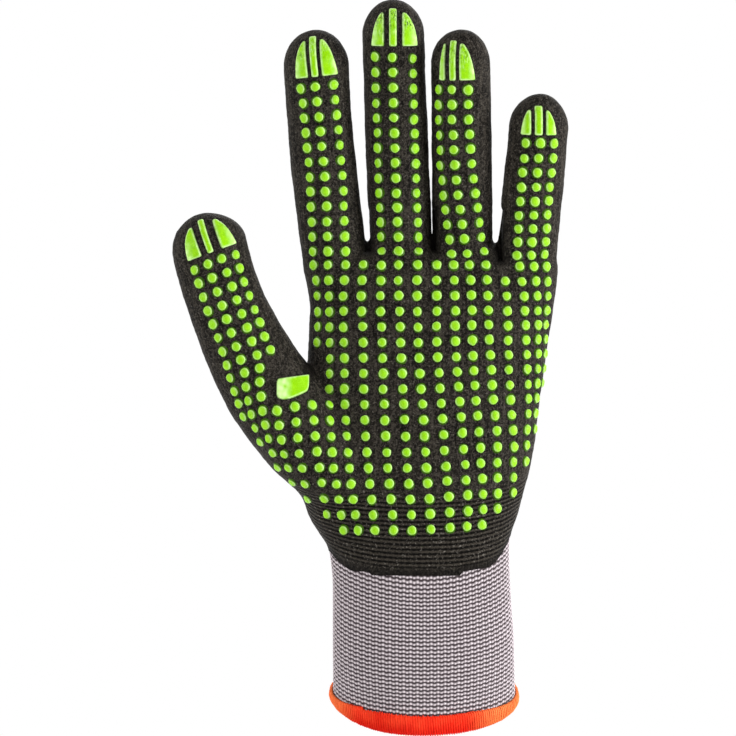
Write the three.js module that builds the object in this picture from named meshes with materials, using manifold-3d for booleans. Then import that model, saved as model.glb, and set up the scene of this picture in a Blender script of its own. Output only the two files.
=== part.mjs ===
// A knitted work glove for the left hand with a black nitrile palm, green grip
// pads and an overlocked hem, standing as it does on a hand: fingers up (+Z),
// palm to the front (-Y), thumb to the left (-X). Millimetres.
// The origin is the centre of the cuff's mouth, where the wrist goes in.
import * as THREE from "three";
import { mergeVertices } from "three/addons/utils/BufferGeometryUtils.js";
import Module from "manifold-3d";

const wasm = await Module();
wasm.setup();

// Layers, from the inside out. Layers that touch on the real glove keep layerGap.
const knitWall = 1.2;
const layerGap = 0.3;
const coatWall = 0.9;
const padWall = 0.8;
const coatInner = layerGap;
const coatOuter = coatInner + coatWall;
const padInner = coatOuter + layerGap;
const padOuter = padInner + padWall;

// The hand tube, from the mouth through the cuff and the palm to the finger roots.
const cuffLength = 52;
const palmLength = 101;
const cuffWidth = 59;
const cuffDepth = 40;
const palmDepth = 29;
const mouthTilt = 24; // degrees that the mouth's plane dips at the front
const wristSetback = 5.5; // how far in front of the mouth the wrist's centre stands
const knuckleHeight = cuffLength + palmLength;

// The fingers stand side by side over the palm, fingerGap apart at their roots.
// Their lengths, widths and depths are shares of the middle finger's. lean and curl
// are the tip's shifts to the side and to the front, as shares of the finger's own
// length, and bow is the share of the lean that is reached half way.
const fingerLength = 80;
const fingerWidth = 18.4;
const fingerDepth = 17;
const fingerGap = 3.4;
const fingers = [
  { name: "index", length: 0.875, width: 1.054, depth: 1, lean: -0.1, bow: 0.8, curl: 0.1 },
  { name: "middle", length: 1, width: 1, depth: 1, lean: -0.044, bow: 0.64, curl: 0.1 },
  { name: "ring", length: 0.881, width: 0.967, depth: 0.97, lean: -0.037, bow: 0.5, curl: 0.128 },
  { name: "little", length: 0.606, width: 0.967, depth: 0.882, lean: 0.066, bow: 0, curl: 0.165 },
].map((f) => ({
  ...f, length: fingerLength * f.length, width: fingerWidth * f.width, depth: fingerDepth * f.depth,
}));
const fingerRoot = 26; // how far a finger's tube reaches down inside the palm
const fingerFan = 0.88; // how close together the roots start, as a share of their places
const fingerStep = 1.2; // from the palm's top up to where the finger tubes start
const palmWidth = fingers.reduce((sum, f) => sum + f.width, fingerGap * (fingers.length - 1));

// The thumb runs on a curve from inside the heel of the palm to its tip.
const thumbWidth = 23;
const thumbDepth = 19.5;
const thumbReach = 34.2; // from the palm's thumb edge out to the middle of the tip
const thumbRise = 110; // from the wrist up to the thumb's tip
const thumbForward = 8; // the tip's place in front of the palm's middle
const thumbCut = 0.52; // share of the thumb's curve where its own tube starts

// Where the nitrile ends: on the cuff below, and behind the middle of the hand.
const coatDrop = 8; // below the wrist, at the middle of the palm side
const coatCorner = 14; // rise of the dip line towards the two edges of the hand
const coatWrap = 3.5; // how far it reaches behind the middle of the hand or a digit
const tipWrap = 12; // length of each fingertip that is coated all round

// The three printed pads on each fingertip. turn rolls them about the digit in
// degrees. height is the bar's, which ends inset below the tip, both as shares of
// the middle finger's bar.
const barHeight = 12.6;
const tipPrints = {
  index: { turn: -9, height: 1.024, inset: 0.07 },
  middle: { turn: 0, height: 1, inset: 0.143 },
  ring: { turn: -12, height: 1.032, inset: 0.19 },
  little: { turn: 6, height: 0.794, inset: 0.08 },
  thumb: { turn: -5, height: 0.984, inset: 0.048 },
};
const printSpan = 0.77; // share of the digit's width that the three cover
const barWidth = 2.9;
const slotWidth = 0.7;

// The printed patch that guards the fork between the thumb and the palm.
const patchLength = 10.4;
const patchHeight = 6.8;
const patchRise = 53.2; // from the wrist up to the patch's middle
const patchOut = 5.2; // from the palm's thumb edge out to the patch's middle

// The overlocked hem is a U that holds the cuff's raw edge.
const hemWall = 0.9;
const hemHeight = 5.8;
const hemLining = 4.6; // height of the U's inner leg

const sides = 14; // sides of a finger
const handSides = 28; // sides of the hand tube
const squareness = 2.3; // exponent of the sections: 2 is an ellipse

const knit = new THREE.MeshStandardMaterial({ color: 0x9c989c, roughness: 0.95, metalness: 0 });
const nitrile = new THREE.MeshStandardMaterial({ color: 0x242424, roughness: 0.8, metalness: 0 });
const green = new THREE.MeshStandardMaterial({ color: 0x7ed60e, roughness: 0.45, metalness: 0 });
const orange = new THREE.MeshStandardMaterial({ color: 0xf4441c, roughness: 0.8, metalness: 0 });

const glove = new THREE.Group();

// Turns a closed geometry into a solid, and a solid back into a named mesh.
function solid(geometry) {
  const bare = new THREE.BufferGeometry().setAttribute("position", geometry.getAttribute("position"));
  if (geometry.index) bare.setIndex(geometry.index);
  const merged = mergeVertices(bare, 1e-4);
  return new wasm.Manifold(new wasm.Mesh({
    numProp: 3,
    vertProperties: merged.attributes.position.array,
    triVerts: new Uint32Array(merged.index.array),
  }));
}

function addPiece(name, made, material) {
  const { vertProperties, triVerts } = made.getMesh();
  const geometry = new THREE.BufferGeometry()
    .setAttribute("position", new THREE.BufferAttribute(vertProperties, 3))
    .setIndex(new THREE.BufferAttribute(triVerts, 1));
  const mesh = new THREE.Mesh(geometry, material);
  mesh.name = name;
  glove.add(mesh);
}

// Joins rings of equal count into a skin. A tube is closed by a fan at each end,
// and a loop of rings, such as the hem, by joining the last ring to the first.
function skin(rings, isLoop = false) {
  const count = rings[0].length;
  const points = rings.flat();
  const faces = [];
  const last = isLoop ? rings.length : rings.length - 1;
  for (let r = 0; r < last; r++) {
    const low = r * count;
    const high = ((r + 1) % rings.length) * count;
    for (let i = 0; i < count; i++) {
      const next = (i + 1) % count;
      faces.push(low + i, low + next, high + next, low + i, high + next, high + i);
    }
  }
  if (!isLoop) {
    for (const [ring, start, turn] of [[rings[0], 0, -1], [rings.at(-1), count * (rings.length - 1), 1]]) {
      const middle = points.length;
      points.push(ring.reduce((sum, p) => sum.add(p), new THREE.Vector3()).divideScalar(count));
      for (let i = 0; i < count; i++) {
        const pair = [start + i, start + ((i + 1) % count)];
        if (turn < 0) pair.reverse();
        faces.push(middle, ...pair);
      }
    }
  }
  const geometry = new THREE.BufferGeometry().setFromPoints(points).setIndex(faces);
  return solid(geometry);
}

// One ring of a tube: a rounded oval about a centre, in the plane of across and back.
function oval(centre, across, back, left, right, depth, count) {
  const ring = [];
  for (let i = 0; i < count; i++) {
    const angle = ((i + 0.5) / count) * 2 * Math.PI;
    const c = Math.cos(angle);
    const s = Math.sin(angle);
    const u = Math.sign(c) * Math.abs(c) ** (2 / squareness) * (c > 0 ? right : left);
    const v = (Math.sign(s) * Math.abs(s) ** (2 / squareness) * depth) / 2;
    ring.push(centre.clone().addScaledVector(across, u).addScaledVector(back, v));
  }
  return ring;
}

// Sections of the hand tube. at is a share of the cuff's or the palm's length, left
// and right are the edges' distances from the middle line as shares of its width,
// and depth is a share of its depth. tilt is a share of the mouth's tilt, and set
// a share of the wrist's setback.
const cuffSections = [
  { at: 0.0, left: 0.512, right: 0.508, depth: 1.06, tilt: 1.0, set: 0.0 },
  { at: 0.4, left: 0.514, right: 0.486, depth: 1.04, tilt: 0.75, set: 0.5 },
  { at: 0.74, left: 0.514, right: 0.462, depth: 1.01, tilt: 0.45, set: 0.85 },
  { at: 1.0, left: 0.537, right: 0.46, depth: 0.97, tilt: 0.15, set: 1.0 },
];
const palmSections = [
  { at: 0.13, left: 0.455, right: 0.367, depth: 1.28 },
  { at: 0.28, left: 0.47, right: 0.415, depth: 1.22 },
  { at: 0.46, left: 0.46, right: 0.446, depth: 1.14 },
  { at: 0.66, left: 0.455, right: 0.478, depth: 1.05 },
  { at: 0.82, left: 0.455, right: 0.505, depth: 0.94 },
  { at: 0.94, left: 0.466, right: 0.518, depth: 0.8 },
  { at: 1.0, left: 0.45, right: 0.5, depth: 0.6 },
];

const acrossHand = new THREE.Vector3(1, 0, 0);
const throughHand = new THREE.Vector3(0, 1, 0);
const upHand = new THREE.Vector3(0, 0, 1);

// The ring of the cuff at height w along it, grown by offset. Heights below the
// mouth or between two sections are worked out from the nearest two.
function cuffRing(w, offset) {
  const share = w / cuffLength;
  const next = Math.max(1, cuffSections.findIndex((s) => s.at >= share));
  const low = cuffSections[next - 1];
  const high = cuffSections[next];
  const k = (share - low.at) / (high.at - low.at);
  const mix = (key) => THREE.MathUtils.lerp(low[key], high[key], k);
  const tilt = THREE.MathUtils.degToRad(mouthTilt * mix("tilt"));
  const back = new THREE.Vector3(0, Math.cos(tilt), Math.sin(tilt));
  return oval(
    new THREE.Vector3(0, -wristSetback * mix("set"), w), acrossHand, back,
    cuffWidth * mix("left") + offset, cuffWidth * mix("right") + offset,
    cuffDepth * mix("depth") + 2 * offset, handSides,
  );
}

function handTube(offset, mouthEnd) {
  const rings = [cuffRing(mouthEnd, offset)];
  for (const s of cuffSections.slice(1)) rings.push(cuffRing(s.at * cuffLength, offset));
  for (const s of palmSections) {
    const isTop = s.at === 1;
    rings.push(oval(
      new THREE.Vector3(0, -wristSetback, cuffLength + palmLength * s.at + (isTop ? offset : 0)),
      acrossHand, throughHand,
      palmWidth * s.left + offset, palmWidth * s.right + offset,
      palmDepth * s.depth + 2 * offset, handSides,
    ));
  }
  return skin(rings);
}

// Sections of a digit: at is a share of its curve, width and depth are shares of
// its own. The last stretch, as long as tipRound, closes as half an ellipsoid.
const fingerSections = [
  { at: 0.0, width: 0.72, depth: 0.72 },
  { at: 0.28, width: 0.96, depth: 1.0 },
  { at: 0.52, width: 0.99, depth: 1.0 },
  { at: 0.78, width: 1.01, depth: 0.98 },
];
const thumbSections = [
  { at: 0.0, width: 0.8, depth: 1.0 },
  { at: 0.16, width: 1.12, depth: 1.5 },
  { at: 0.32, width: 1.24, depth: 1.55 },
  { at: 0.46, width: 1.24, depth: 1.35 },
  { at: 0.6, width: 1.17, depth: 1.15 },
  { at: 0.78, width: 1.04, depth: 1.0 },
];
const tipRound = 11;
const tipAngles = [0, 28, 50, 68, 82]; // degrees round the tip's quarter arc

// A digit with its frame at any distance w from its start. The frame's across runs
// over the palm side from left to right, turned about the digit by its prints' turn.
function digit({ name, width, depth }, curve, sections) {
  const length = curve.getLength();
  const turn = THREE.MathUtils.degToRad(tipPrints[name].turn);
  const frameAt = (w) => {
    const t = Math.min(1, w / length);
    const along = curve.getTangentAt(t);
    const across = throughHand.clone().cross(along).normalize().applyAxisAngle(along, turn);
    const centre = curve.getPointAt(t).addScaledVector(along, Math.max(0, w - length));
    return { centre, along, across, back: along.clone().cross(across) };
  };
  return { name, length, width, depth, sections, frameAt };
}

function digitTube(d, offset) {
  const ringAt = (w, width, depth) => {
    const { centre, across, back } = d.frameAt(w);
    return oval(centre, across, back, width / 2, width / 2, depth, sides);
  };
  const straight = d.length - tipRound;
  const rings = d.sections.map((s) => ringAt(
    straight * s.at, d.width * s.width + 2 * offset, d.depth * s.depth + 2 * offset,
  ));
  for (const angle of tipAngles) {
    const a = THREE.MathUtils.degToRad(angle);
    rings.push(ringAt(
      straight + (tipRound + offset) * Math.sin(a),
      (d.width + 2 * offset) * Math.cos(a), (d.depth + 2 * offset) * Math.cos(a),
    ));
  }
  return skin(rings);
}

// A digit's curve starts inside the hand and reaches its tip by way of one control
// point. The thumb's start and control are shares of its reach, rise and forward.
const palmLeft = palmWidth * palmSections.at(-2).left;
const digits = [];
let edge = -palmLeft;
for (const f of fingers) {
  const x = edge + f.width / 2;
  edge += f.width + fingerGap;
  const start = new THREE.Vector3(x * fingerFan, -wristSetback, knuckleHeight - fingerRoot);
  const lean = f.length * f.lean;
  const curl = f.length * f.curl;
  const tip = new THREE.Vector3(x + lean, -wristSetback - curl, knuckleHeight + f.length);
  const control = start.clone().lerp(tip, 0.5);
  control.x = x + lean * f.bow;
  control.y = -wristSetback - curl * 0.15;
  digits.push(digit(f, new THREE.QuadraticBezierCurve3(start, control, tip), fingerSections));
}
const thumbPoints = [
  { edge: 0.47, reach: 0, rise: 0.15, forward: 0.5 },
  { edge: 1, reach: 0.74, rise: 0.49, forward: 1 },
  { edge: 1, reach: 1, rise: 1, forward: 1 },
].map((p) => new THREE.Vector3(
  -palmLeft * p.edge - thumbReach * p.reach,
  -wristSetback - thumbForward * p.forward,
  cuffLength + thumbRise * p.rise,
));
const thumb = digit(
  { name: "thumb", width: thumbWidth, depth: thumbDepth },
  new THREE.QuadraticBezierCurve3(...thumbPoints), thumbSections,
);

// The whole glove's form, grown by offset: the hand tube and all five digits. An
// inner form runs out past the mouth, so that what it is cut from stays open there.
const hemFloor = hemWall + layerGap; // the cuff's raw edge stands this far above the mouth
const pastMouth = -10;
function gloveForm(offset, mouthEnd) {
  return [...digits, thumb].reduce((sum, d) => sum.add(digitTube(d, offset)), handTube(offset, mouthEnd));
}

// A block of space in a frame of its own: from low to high along across, back and along.
function zone({ centre, across, back, along }, low, high) {
  const size = new THREE.Vector3().subVectors(high, low);
  const box = new THREE.BoxGeometry(size.x, size.y, size.z);
  box.translate(...low.clone().addScaledVector(size, 0.5));
  box.applyMatrix4(new THREE.Matrix4().makeBasis(across, back, along).setPosition(centre));
  return solid(box);
}

const far = 400; // past the glove on every side
const above = (z) => zone(
  { centre: new THREE.Vector3(0, 0, z), across: acrossHand, back: throughHand, along: upHand },
  new THREE.Vector3(-far, -far, 0), new THREE.Vector3(far, far, far),
);

// The knitted liner: one shell, open at the mouth, kept as the cuff, the palm and
// a tube for each digit, which are knitted one after the other.
const liner = gloveForm(0, hemFloor).subtract(gloveForm(-knitWall, pastMouth));
const palmZone = above(cuffLength).subtract(above(knuckleHeight + fingerStep - layerGap));
const fingerZone = above(knuckleHeight + fingerStep);
const thumbFrame = thumb.frameAt((thumb.length - tipRound) * thumbCut);
const thumbZone = zone(
  thumbFrame,
  new THREE.Vector3(-thumbWidth, -far, 0), new THREE.Vector3(thumbWidth * 0.86, far, far),
);
const thumbSlit = thumbFrame.along.clone().multiplyScalar(-layerGap);
const thumbSpace = thumbZone.intersect(digitTube(thumb, layerGap)).translate(thumbSlit.toArray());
const linerTube = (d) => digitTube(d, 0).subtract(digitTube(d, -knitWall));

addPiece("knit_cuff", liner.subtract(above(cuffLength - layerGap)), knit);
addPiece("knit_palm", liner.intersect(palmZone).subtract(thumbSpace), knit);
for (const d of digits) addPiece(`knit_${d.name}`, linerTube(d).intersect(fingerZone), knit);
addPiece("knit_thumb", linerTube(thumb).intersect(thumbZone), knit);

// The nitrile skin: a dip line rounded at the wrist's corners, the palm side of
// the hand as far as coatWrap behind its middle, and all round the fingertips.
function outline(points, depth, place) {
  const shape = new THREE.Shape(points.map(([a, b]) => new THREE.Vector2(a, b)));
  const block = new THREE.ExtrudeGeometry(shape, { depth, bevelEnabled: false });
  block.applyMatrix4(place);
  return solid(block);
}

// Looking along +Y: a shape's x and y become X and Z, and it reaches from front to back.
const facingFront = (back) => new THREE.Matrix4()
  .makeBasis(acrossHand, upHand, throughHand.clone().negate()).setPosition(0, back, 0);

// The dip line's points: out is a share of the wrist's half width, up of coatCorner.
const dipShares = [
  { out: 0.55, up: 0.0 },
  { out: 0.8, up: 0.22 },
  { out: 0.93, up: 0.5 },
  { out: 1.06, up: 1.0 },
  { out: 1.3, up: 1.6 },
];
const wrist = cuffSections.at(-1);
const dipPoint = (side, { out, up }) => [
  side * out * cuffWidth * (side < 0 ? wrist.left : wrist.right),
  cuffLength - coatDrop + coatCorner * up,
];
const dipLine = [
  ...dipShares.map((s) => dipPoint(1, s)),
  [far, cuffLength + coatCorner * 2], [far, far], [-far, far], [-far, cuffLength + coatCorner * 2],
  ...dipShares.map((s) => dipPoint(-1, s)).reverse(),
];
const palmBack = coatWrap - wristSetback;
const thumbEdge = -palmLeft - fingerGap;
const wrapLine = [
  [far, palmBack], [thumbEdge, palmBack], [thumbEdge - coatWrap, palmBack - thumbForward],
  [-far, palmBack - thumbForward], [-far, -far], [far, -far],
];
const palmSide = outline(dipLine, 2 * far, facingFront(far))
  .intersect(outline(wrapLine, knuckleHeight + coatOuter, new THREE.Matrix4()));

// The palm side of one digit, as a block that follows its curve to past its tip.
function digitFront(d) {
  const rings = [0.1, 0.4, 0.7, 1].map((share) => {
    const { centre, across, back } = d.frameAt(d.length * share + (share === 1 ? tipWrap : 0));
    return [[-1, -1], [1, -1], [1, 0], [-1, 0]].map(([u, v]) => centre.clone()
      .addScaledVector(across, u * d.width * 0.75)
      .addScaledVector(back, v < 0 ? -d.depth : coatWrap));
  });
  return skin(rings);
}

const tips = [...digits, thumb].map((d) => zone(
  d.frameAt(d.length - tipWrap),
  new THREE.Vector3(-d.width, -d.depth, 0), new THREE.Vector3(d.width, d.depth, tipWrap * 2),
));
const dipped = [...tips, ...digits.map(digitFront), digitFront(thumb)]
  .reduce((sum, made) => sum.add(made), palmSide);
const coating = gloveForm(coatOuter, hemFloor).subtract(gloveForm(coatInner, pastMouth));
addPiece("nitrile_coating", coating.intersect(dipped), nitrile);

// The fingertip pads: a bar between two quarter arches, cut from a skin over the tip.
function tipPads(d) {
  const height = barHeight * tipPrints[d.name].height;
  const inset = barHeight * tipPrints[d.name].inset;
  const { centre, across, along } = d.frameAt(d.length - inset - height);
  const place = new THREE.Matrix4()
    .makeBasis(across, along, across.clone().cross(along)).setPosition(centre);
  const half = (d.width * printSpan) / 2;
  const inner = barWidth / 2 + slotWidth;
  const archTop = Math.acos((inner + slotWidth) / half);
  const arch = [0, 0.35, 0.7, 1].map((share) => [
    half * Math.cos(archTop * share), height * Math.sin(archTop * share),
  ]);
  const rightPad = [[inner, 0], ...arch, [inner, arch.at(-1)[1]]];
  const leftPad = rightPad.map(([u, w]) => [-u, w]).reverse();
  const bar = [[-barWidth / 2, 0], [barWidth / 2, 0], [barWidth / 2, height], [-barWidth / 2, height]];
  const skinOver = digitTube(d, padOuter).subtract(digitTube(d, padInner));
  for (const [name, points] of [["left", leftPad], ["bar", bar], ["right", rightPad]]) {
    addPiece(`pad_${d.name}_${name}`, outline(points, far, place).intersect(skinOver), green);
  }
}
for (const d of [...digits, thumb]) tipPads(d);

// The patch at the thumb's fork: a folded rectangle whose lower right corner is cut.
const patchPoints = [
  { along: -0.5, up: -0.5 },
  { along: 0.12, up: -0.47 },
  { along: 0.5, up: -0.1 },
  { along: 0.5, up: 0.55 },
  { along: -0.46, up: 0.45 },
].map(({ along, up }) => [
  -palmLeft - patchOut + patchLength * along, cuffLength + patchRise + patchHeight * up,
]);
const forkSkin = handTube(padOuter, hemFloor).add(digitTube(thumb, padOuter))
  .subtract(handTube(padInner, pastMouth).add(digitTube(thumb, padInner)));
const patchSpace = outline(patchPoints, far, facingFront(-wristSetback));
addPiece("patch_thumb_fork", patchSpace.intersect(forkSkin), green);

// The hem: rings of a U section, each given by its distance out from the cuff's
// outer face and its height above the mouth.
const hemOut = layerGap + hemWall;
const hemIn = -knitWall - layerGap - hemWall;
const hemRound = hemWall * 0.6;
const hemSection = [
  { out: hemOut, up: hemRound },
  { out: hemOut, up: hemHeight - hemRound },
  { out: hemOut - hemRound, up: hemHeight },
  { out: layerGap, up: hemHeight },
  { out: layerGap, up: hemWall },
  { out: -knitWall - layerGap, up: hemWall },
  { out: -knitWall - layerGap, up: hemLining },
  { out: hemIn, up: hemLining - hemRound },
  { out: hemIn, up: hemRound },
  { out: hemIn + hemRound, up: 0 },
  { out: hemOut - hemRound, up: 0 },
];
addPiece("hem_overlock", skin(hemSection.map(({ out, up }) => cuffRing(up, out)), true), orange);

export default glove;
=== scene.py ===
import math
import bmesh
import bpy
import numpy as np
from mathutils import Matrix, Vector
from mathutils.bvhtree import BVHTree


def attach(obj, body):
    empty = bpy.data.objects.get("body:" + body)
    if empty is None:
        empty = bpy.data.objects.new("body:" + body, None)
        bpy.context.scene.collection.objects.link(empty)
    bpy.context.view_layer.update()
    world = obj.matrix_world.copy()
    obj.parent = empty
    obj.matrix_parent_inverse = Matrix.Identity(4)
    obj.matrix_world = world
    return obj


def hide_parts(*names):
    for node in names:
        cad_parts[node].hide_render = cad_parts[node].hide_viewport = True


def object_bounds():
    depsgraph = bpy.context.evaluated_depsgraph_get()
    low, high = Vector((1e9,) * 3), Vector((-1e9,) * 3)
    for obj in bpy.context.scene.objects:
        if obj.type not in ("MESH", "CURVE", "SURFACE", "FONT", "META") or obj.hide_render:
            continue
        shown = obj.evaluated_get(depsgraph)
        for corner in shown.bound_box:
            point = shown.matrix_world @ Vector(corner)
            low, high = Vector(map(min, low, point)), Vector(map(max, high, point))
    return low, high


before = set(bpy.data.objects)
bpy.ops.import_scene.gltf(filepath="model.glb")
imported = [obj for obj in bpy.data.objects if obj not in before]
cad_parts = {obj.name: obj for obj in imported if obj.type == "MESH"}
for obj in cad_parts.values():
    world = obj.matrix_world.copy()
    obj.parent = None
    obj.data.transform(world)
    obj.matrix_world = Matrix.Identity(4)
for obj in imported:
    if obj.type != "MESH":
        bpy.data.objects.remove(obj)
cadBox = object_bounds()
mm = 0.001
print("frame loaded:", len(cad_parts), "nodes")

# Shapes are worked out in millimetres and become metres when a mesh is made.
# +Z runs along the fingers, the palm faces -Y and the thumb points to -X.


def smoothStep(low, high, x):
    t = np.clip((x - low) / (high - low), 0, 1)
    return t * t * (3 - 2 * t)


def meet(a, b, fillet):  # the smaller of two distances, with a fillet where they meet
    near = np.maximum(fillet - np.abs(a - b), 0) / fillet
    return np.minimum(a, b) - near * near * fillet / 4


def unit(v):
    return v / np.linalg.norm(v, axis=-1, keepdims=True)


def dot(a, b):
    return np.einsum("...i,...i->...", a, b)


def easeThrough(at, values, wanted):  # a smooth curve through a table's values, with no overshoot
    at, values = np.array(at, float), np.array(values, float)
    step = np.diff(at)
    slope = np.diff(values) / step
    same = slope[:-1] * slope[1:] > 0
    both = np.where(same, slope[:-1] + slope[1:], 1)
    inner = np.where(same, 2 * slope[:-1] * slope[1:] / both, 0)
    bend = np.concatenate([slope[:1], inner, slope[-1:]])
    i = np.clip(np.searchsorted(at, wanted, side="right") - 1, 0, len(step) - 1)
    t = np.clip((wanted - at[i]) / step[i], 0, 1)
    hermite = values[i] * (1 + 2 * t) * (1 - t) ** 2 + values[i + 1] * t * t * (3 - 2 * t)
    return hermite + step[i] * (bend[i] * t * (1 - t) ** 2 - bend[i + 1] * t * t * (1 - t))


# The photograph's view: what is in the middle of the frame, and how far away it is seen from
view = dict(middle=(-18.67, -8.0, 111.67), away=2000, across=245.3, sensor=36)
eye = np.array(view["middle"]) - np.array([0, view["away"], 0])

# The hand's form, as in the frame

hand = dict(
    cuffLength=52, cuffWidth=59, cuffDepth=40, palmLength=101, palmWidth=83.6, palmDepth=29,
    fingerEdge=0.466, fingerRoot=26, fingerFan=0.88, fingerGap=3.4, mouthTilt=28, setback=5.5,
    squareness=2.3, mouthSquareness=1.95, squareOver=24, digitSquareness=2.0,
    mouthRound=1.0, topRound=10, rootRound=7.0, tipRound=11, knitWall=1.2,
)
knuckle = hand["cuffLength"] + hand["palmLength"]

cuffSections = [  # at along the cuff, edges as shares of its width, depth of its depth
    dict(at=0.0, left=0.512, right=0.516, depth=1.06, tilt=1.0, set=0.0),
    dict(at=0.4, left=0.514, right=0.508, depth=1.04, tilt=0.75, set=0.5),
    dict(at=0.74, left=0.514, right=0.488, depth=1.01, tilt=0.45, set=0.85),
    dict(at=1.0, left=0.537, right=0.48, depth=0.97, tilt=0.15, set=1.0),
]
palmSections = [  # at along the palm, edges as shares of its width, depth of its depth
    dict(at=0.13, left=0.455, right=0.367, depth=1.28),
    dict(at=0.28, left=0.47, right=0.415, depth=1.22),
    dict(at=0.46, left=0.46, right=0.446, depth=1.14),
    dict(at=0.66, left=0.448, right=0.478, depth=1.05),
    dict(at=0.82, left=0.44, right=0.505, depth=0.94),
    dict(at=0.94, left=0.448, right=0.512, depth=0.8),
    dict(at=1.0, left=0.43, right=0.49, depth=0.6),
]
fingers = [  # lean and curl: the tip's shifts to the side and front; turn rolls its print
    dict(name="index", length=70, width=19.4, depth=17, lean=-7, bow=0.8, curl=7, turn=-9),
    dict(name="middle", length=80, width=18.4, depth=17, lean=-3.5, bow=0.64, curl=8, turn=0),
    dict(name="ring", length=69.9, width=17.8, depth=16.5, lean=-2.6, bow=0.5, curl=9, turn=-12),
    dict(name="little", length=48.5, width=17.8, depth=15, lean=3.2, bow=0, curl=8, turn=6),
]
thumb = dict(name="thumb", width=23, depth=19.5, reach=34.2, rise=110, forward=8, turn=-5)
fingerSections = [
    dict(at=0.0, width=0.72, depth=0.72), dict(at=0.28, width=1.01, depth=1.0),
    dict(at=0.52, width=1.02, depth=1.0), dict(at=0.78, width=1.01, depth=0.98),
    dict(at=1.0, width=1.0, depth=1.0),
]
thumbSections = [
    dict(at=0.0, width=0.8, depth=1.0), dict(at=0.16, width=1.12, depth=1.5),
    dict(at=0.32, width=1.24, depth=1.55), dict(at=0.46, width=1.24, depth=1.35),
    dict(at=0.6, width=1.17, depth=1.15), dict(at=0.78, width=1.04, depth=1.0),
    dict(at=1.0, width=1.0, depth=1.0),
]
thumbPoints = [  # shares of the palm's edge and of the thumb's reach, rise and forward
    dict(edge=0.47, reach=0, rise=0.15, forward=0.5),
    dict(edge=1, reach=0.74, rise=0.49, forward=1),
    dict(edge=1, reach=1, rise=1, forward=1),
]
throughHand = np.array([0.0, 1.0, 0.0])
farAway = 30.0  # from here on a distance needn't be exact


class Tube:  # oval sections along a line, closed at each end as half an ellipsoid
    def __init__(self, name, w, centre, along, across, left, right, depth,
                 startRound, endRound, square):
        self.name, self.w, self.startRound, self.endRound = name, w, startRound, endRound
        self.left, self.right, self.depth, self.square = left, right, depth, square
        self.axes = dict(centre=centre, along=unit(along), across=unit(across))
        self.axes["back"] = unit(np.cross(self.axes["along"], self.axes["across"]))
        reach = max(left.max(), right.max(), depth.max()) + 8
        self.low, self.high = centre.min(0) - reach, centre.max(0) + reach
        # how far round the section each angle lies, as a share, with 0 at the front
        turn = np.linspace(-math.pi, math.pi, 1441)
        e = 2 / square[:, None]
        side = np.sign(np.sin(turn)) * np.abs(np.sin(turn)) ** e
        deep = -np.sign(np.cos(turn)) * np.abs(np.cos(turn)) ** e
        u = side * np.where(side > 0, right[:, None], left[:, None])
        v = deep * depth[:, None]
        run = np.cumsum(np.hypot(np.diff(u, axis=1), np.diff(v, axis=1)), axis=1)
        run = np.hstack([np.zeros((len(w), 1)), run])
        middle = run[:, 720:721]
        half = np.where(turn < 0, middle, run[:, -1:] - middle)
        self.turn, self.run = turn, (run - middle) / (2 * half)

    def frame(self, w, *wanted):  # vectors and sizes at any place along the tube
        inside = np.clip(w, self.w[0], self.w[-1])
        found = []
        for name in wanted:
            if name in self.axes:
                v = np.stack([np.interp(inside, self.w, c) for c in self.axes[name].T], -1)
                if name == "centre":
                    v = v + self.frame(w, "along")[0] * (w - inside)[..., None]
                found.append(v)
            else:
                found.append(np.interp(inside, self.w, getattr(self, name)))
        return found

    def measure(self, p):  # distance to the surface, and w, u, v in the tube's own frame
        start, end = self.axes["centre"][0], self.axes["centre"][-1]
        run = end - start
        w = self.w[0] + (self.w[-1] - self.w[0]) * ((p - start) @ run) / (run @ run)
        for _ in range(5):
            centre, along = self.frame(w, "centre", "along")
            w = np.clip(w + dot(p - centre, along), self.w[0] - farAway, self.w[-1] + farAway)
        centre, across, back, left, right, depth = self.frame(
            w, "centre", "across", "back", "left", "right", "depth")
        u, v = dot(p - centre, across), dot(p - centre, back)
        n = self.frame(w, "square")[0]
        a = np.where(u > 0, right, left)
        x, y = np.abs(u) / a, np.abs(v) / depth
        rho = (x ** n + y ** n) ** (1 / n) + 1e-6
        over = np.maximum(w - (self.w[-1] - self.endRound), 0) / self.endRound
        under = np.maximum(self.w[0] + self.startRound - w, 0) / self.startRound
        cap = over + under
        total = np.sqrt(rho ** 2 + cap ** 2)
        gx, gy = rho ** (2 - n) * x ** (n - 1) / a, rho ** (2 - n) * y ** (n - 1) / depth
        gs = over / self.endRound + under / self.startRound
        slope = np.sqrt(gx ** 2 + gy ** 2 + gs ** 2) / total
        return (total - 1) / np.maximum(slope, 1e-3), w, u, v

    def share(self, w, u, v):  # how far round the section a point lies, from -0.5 to 0.5
        left, right, depth, square = self.frame(w, "left", "right", "depth", "square")
        x = (np.abs(u) / np.where(u > 0, right, left)) ** (square / 2)
        y = (np.abs(v) / depth) ** (square / 2)
        angle = np.arctan2(np.sign(u) * x, -np.sign(v) * y)
        row = np.interp(w, self.w, np.arange(len(self.w)))
        low = np.clip(row.astype(int), 0, len(self.w) - 2)
        step = (angle - self.turn[0]) / (self.turn[1] - self.turn[0])
        i = np.clip(step.astype(int), 0, len(self.turn) - 2)
        k, t = row - low, step - i
        near = self.run[low, i] * (1 - t) + self.run[low, i + 1] * t
        far = self.run[low + 1, i] * (1 - t) + self.run[low + 1, i + 1] * t
        return near * (1 - k) + far * k


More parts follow.
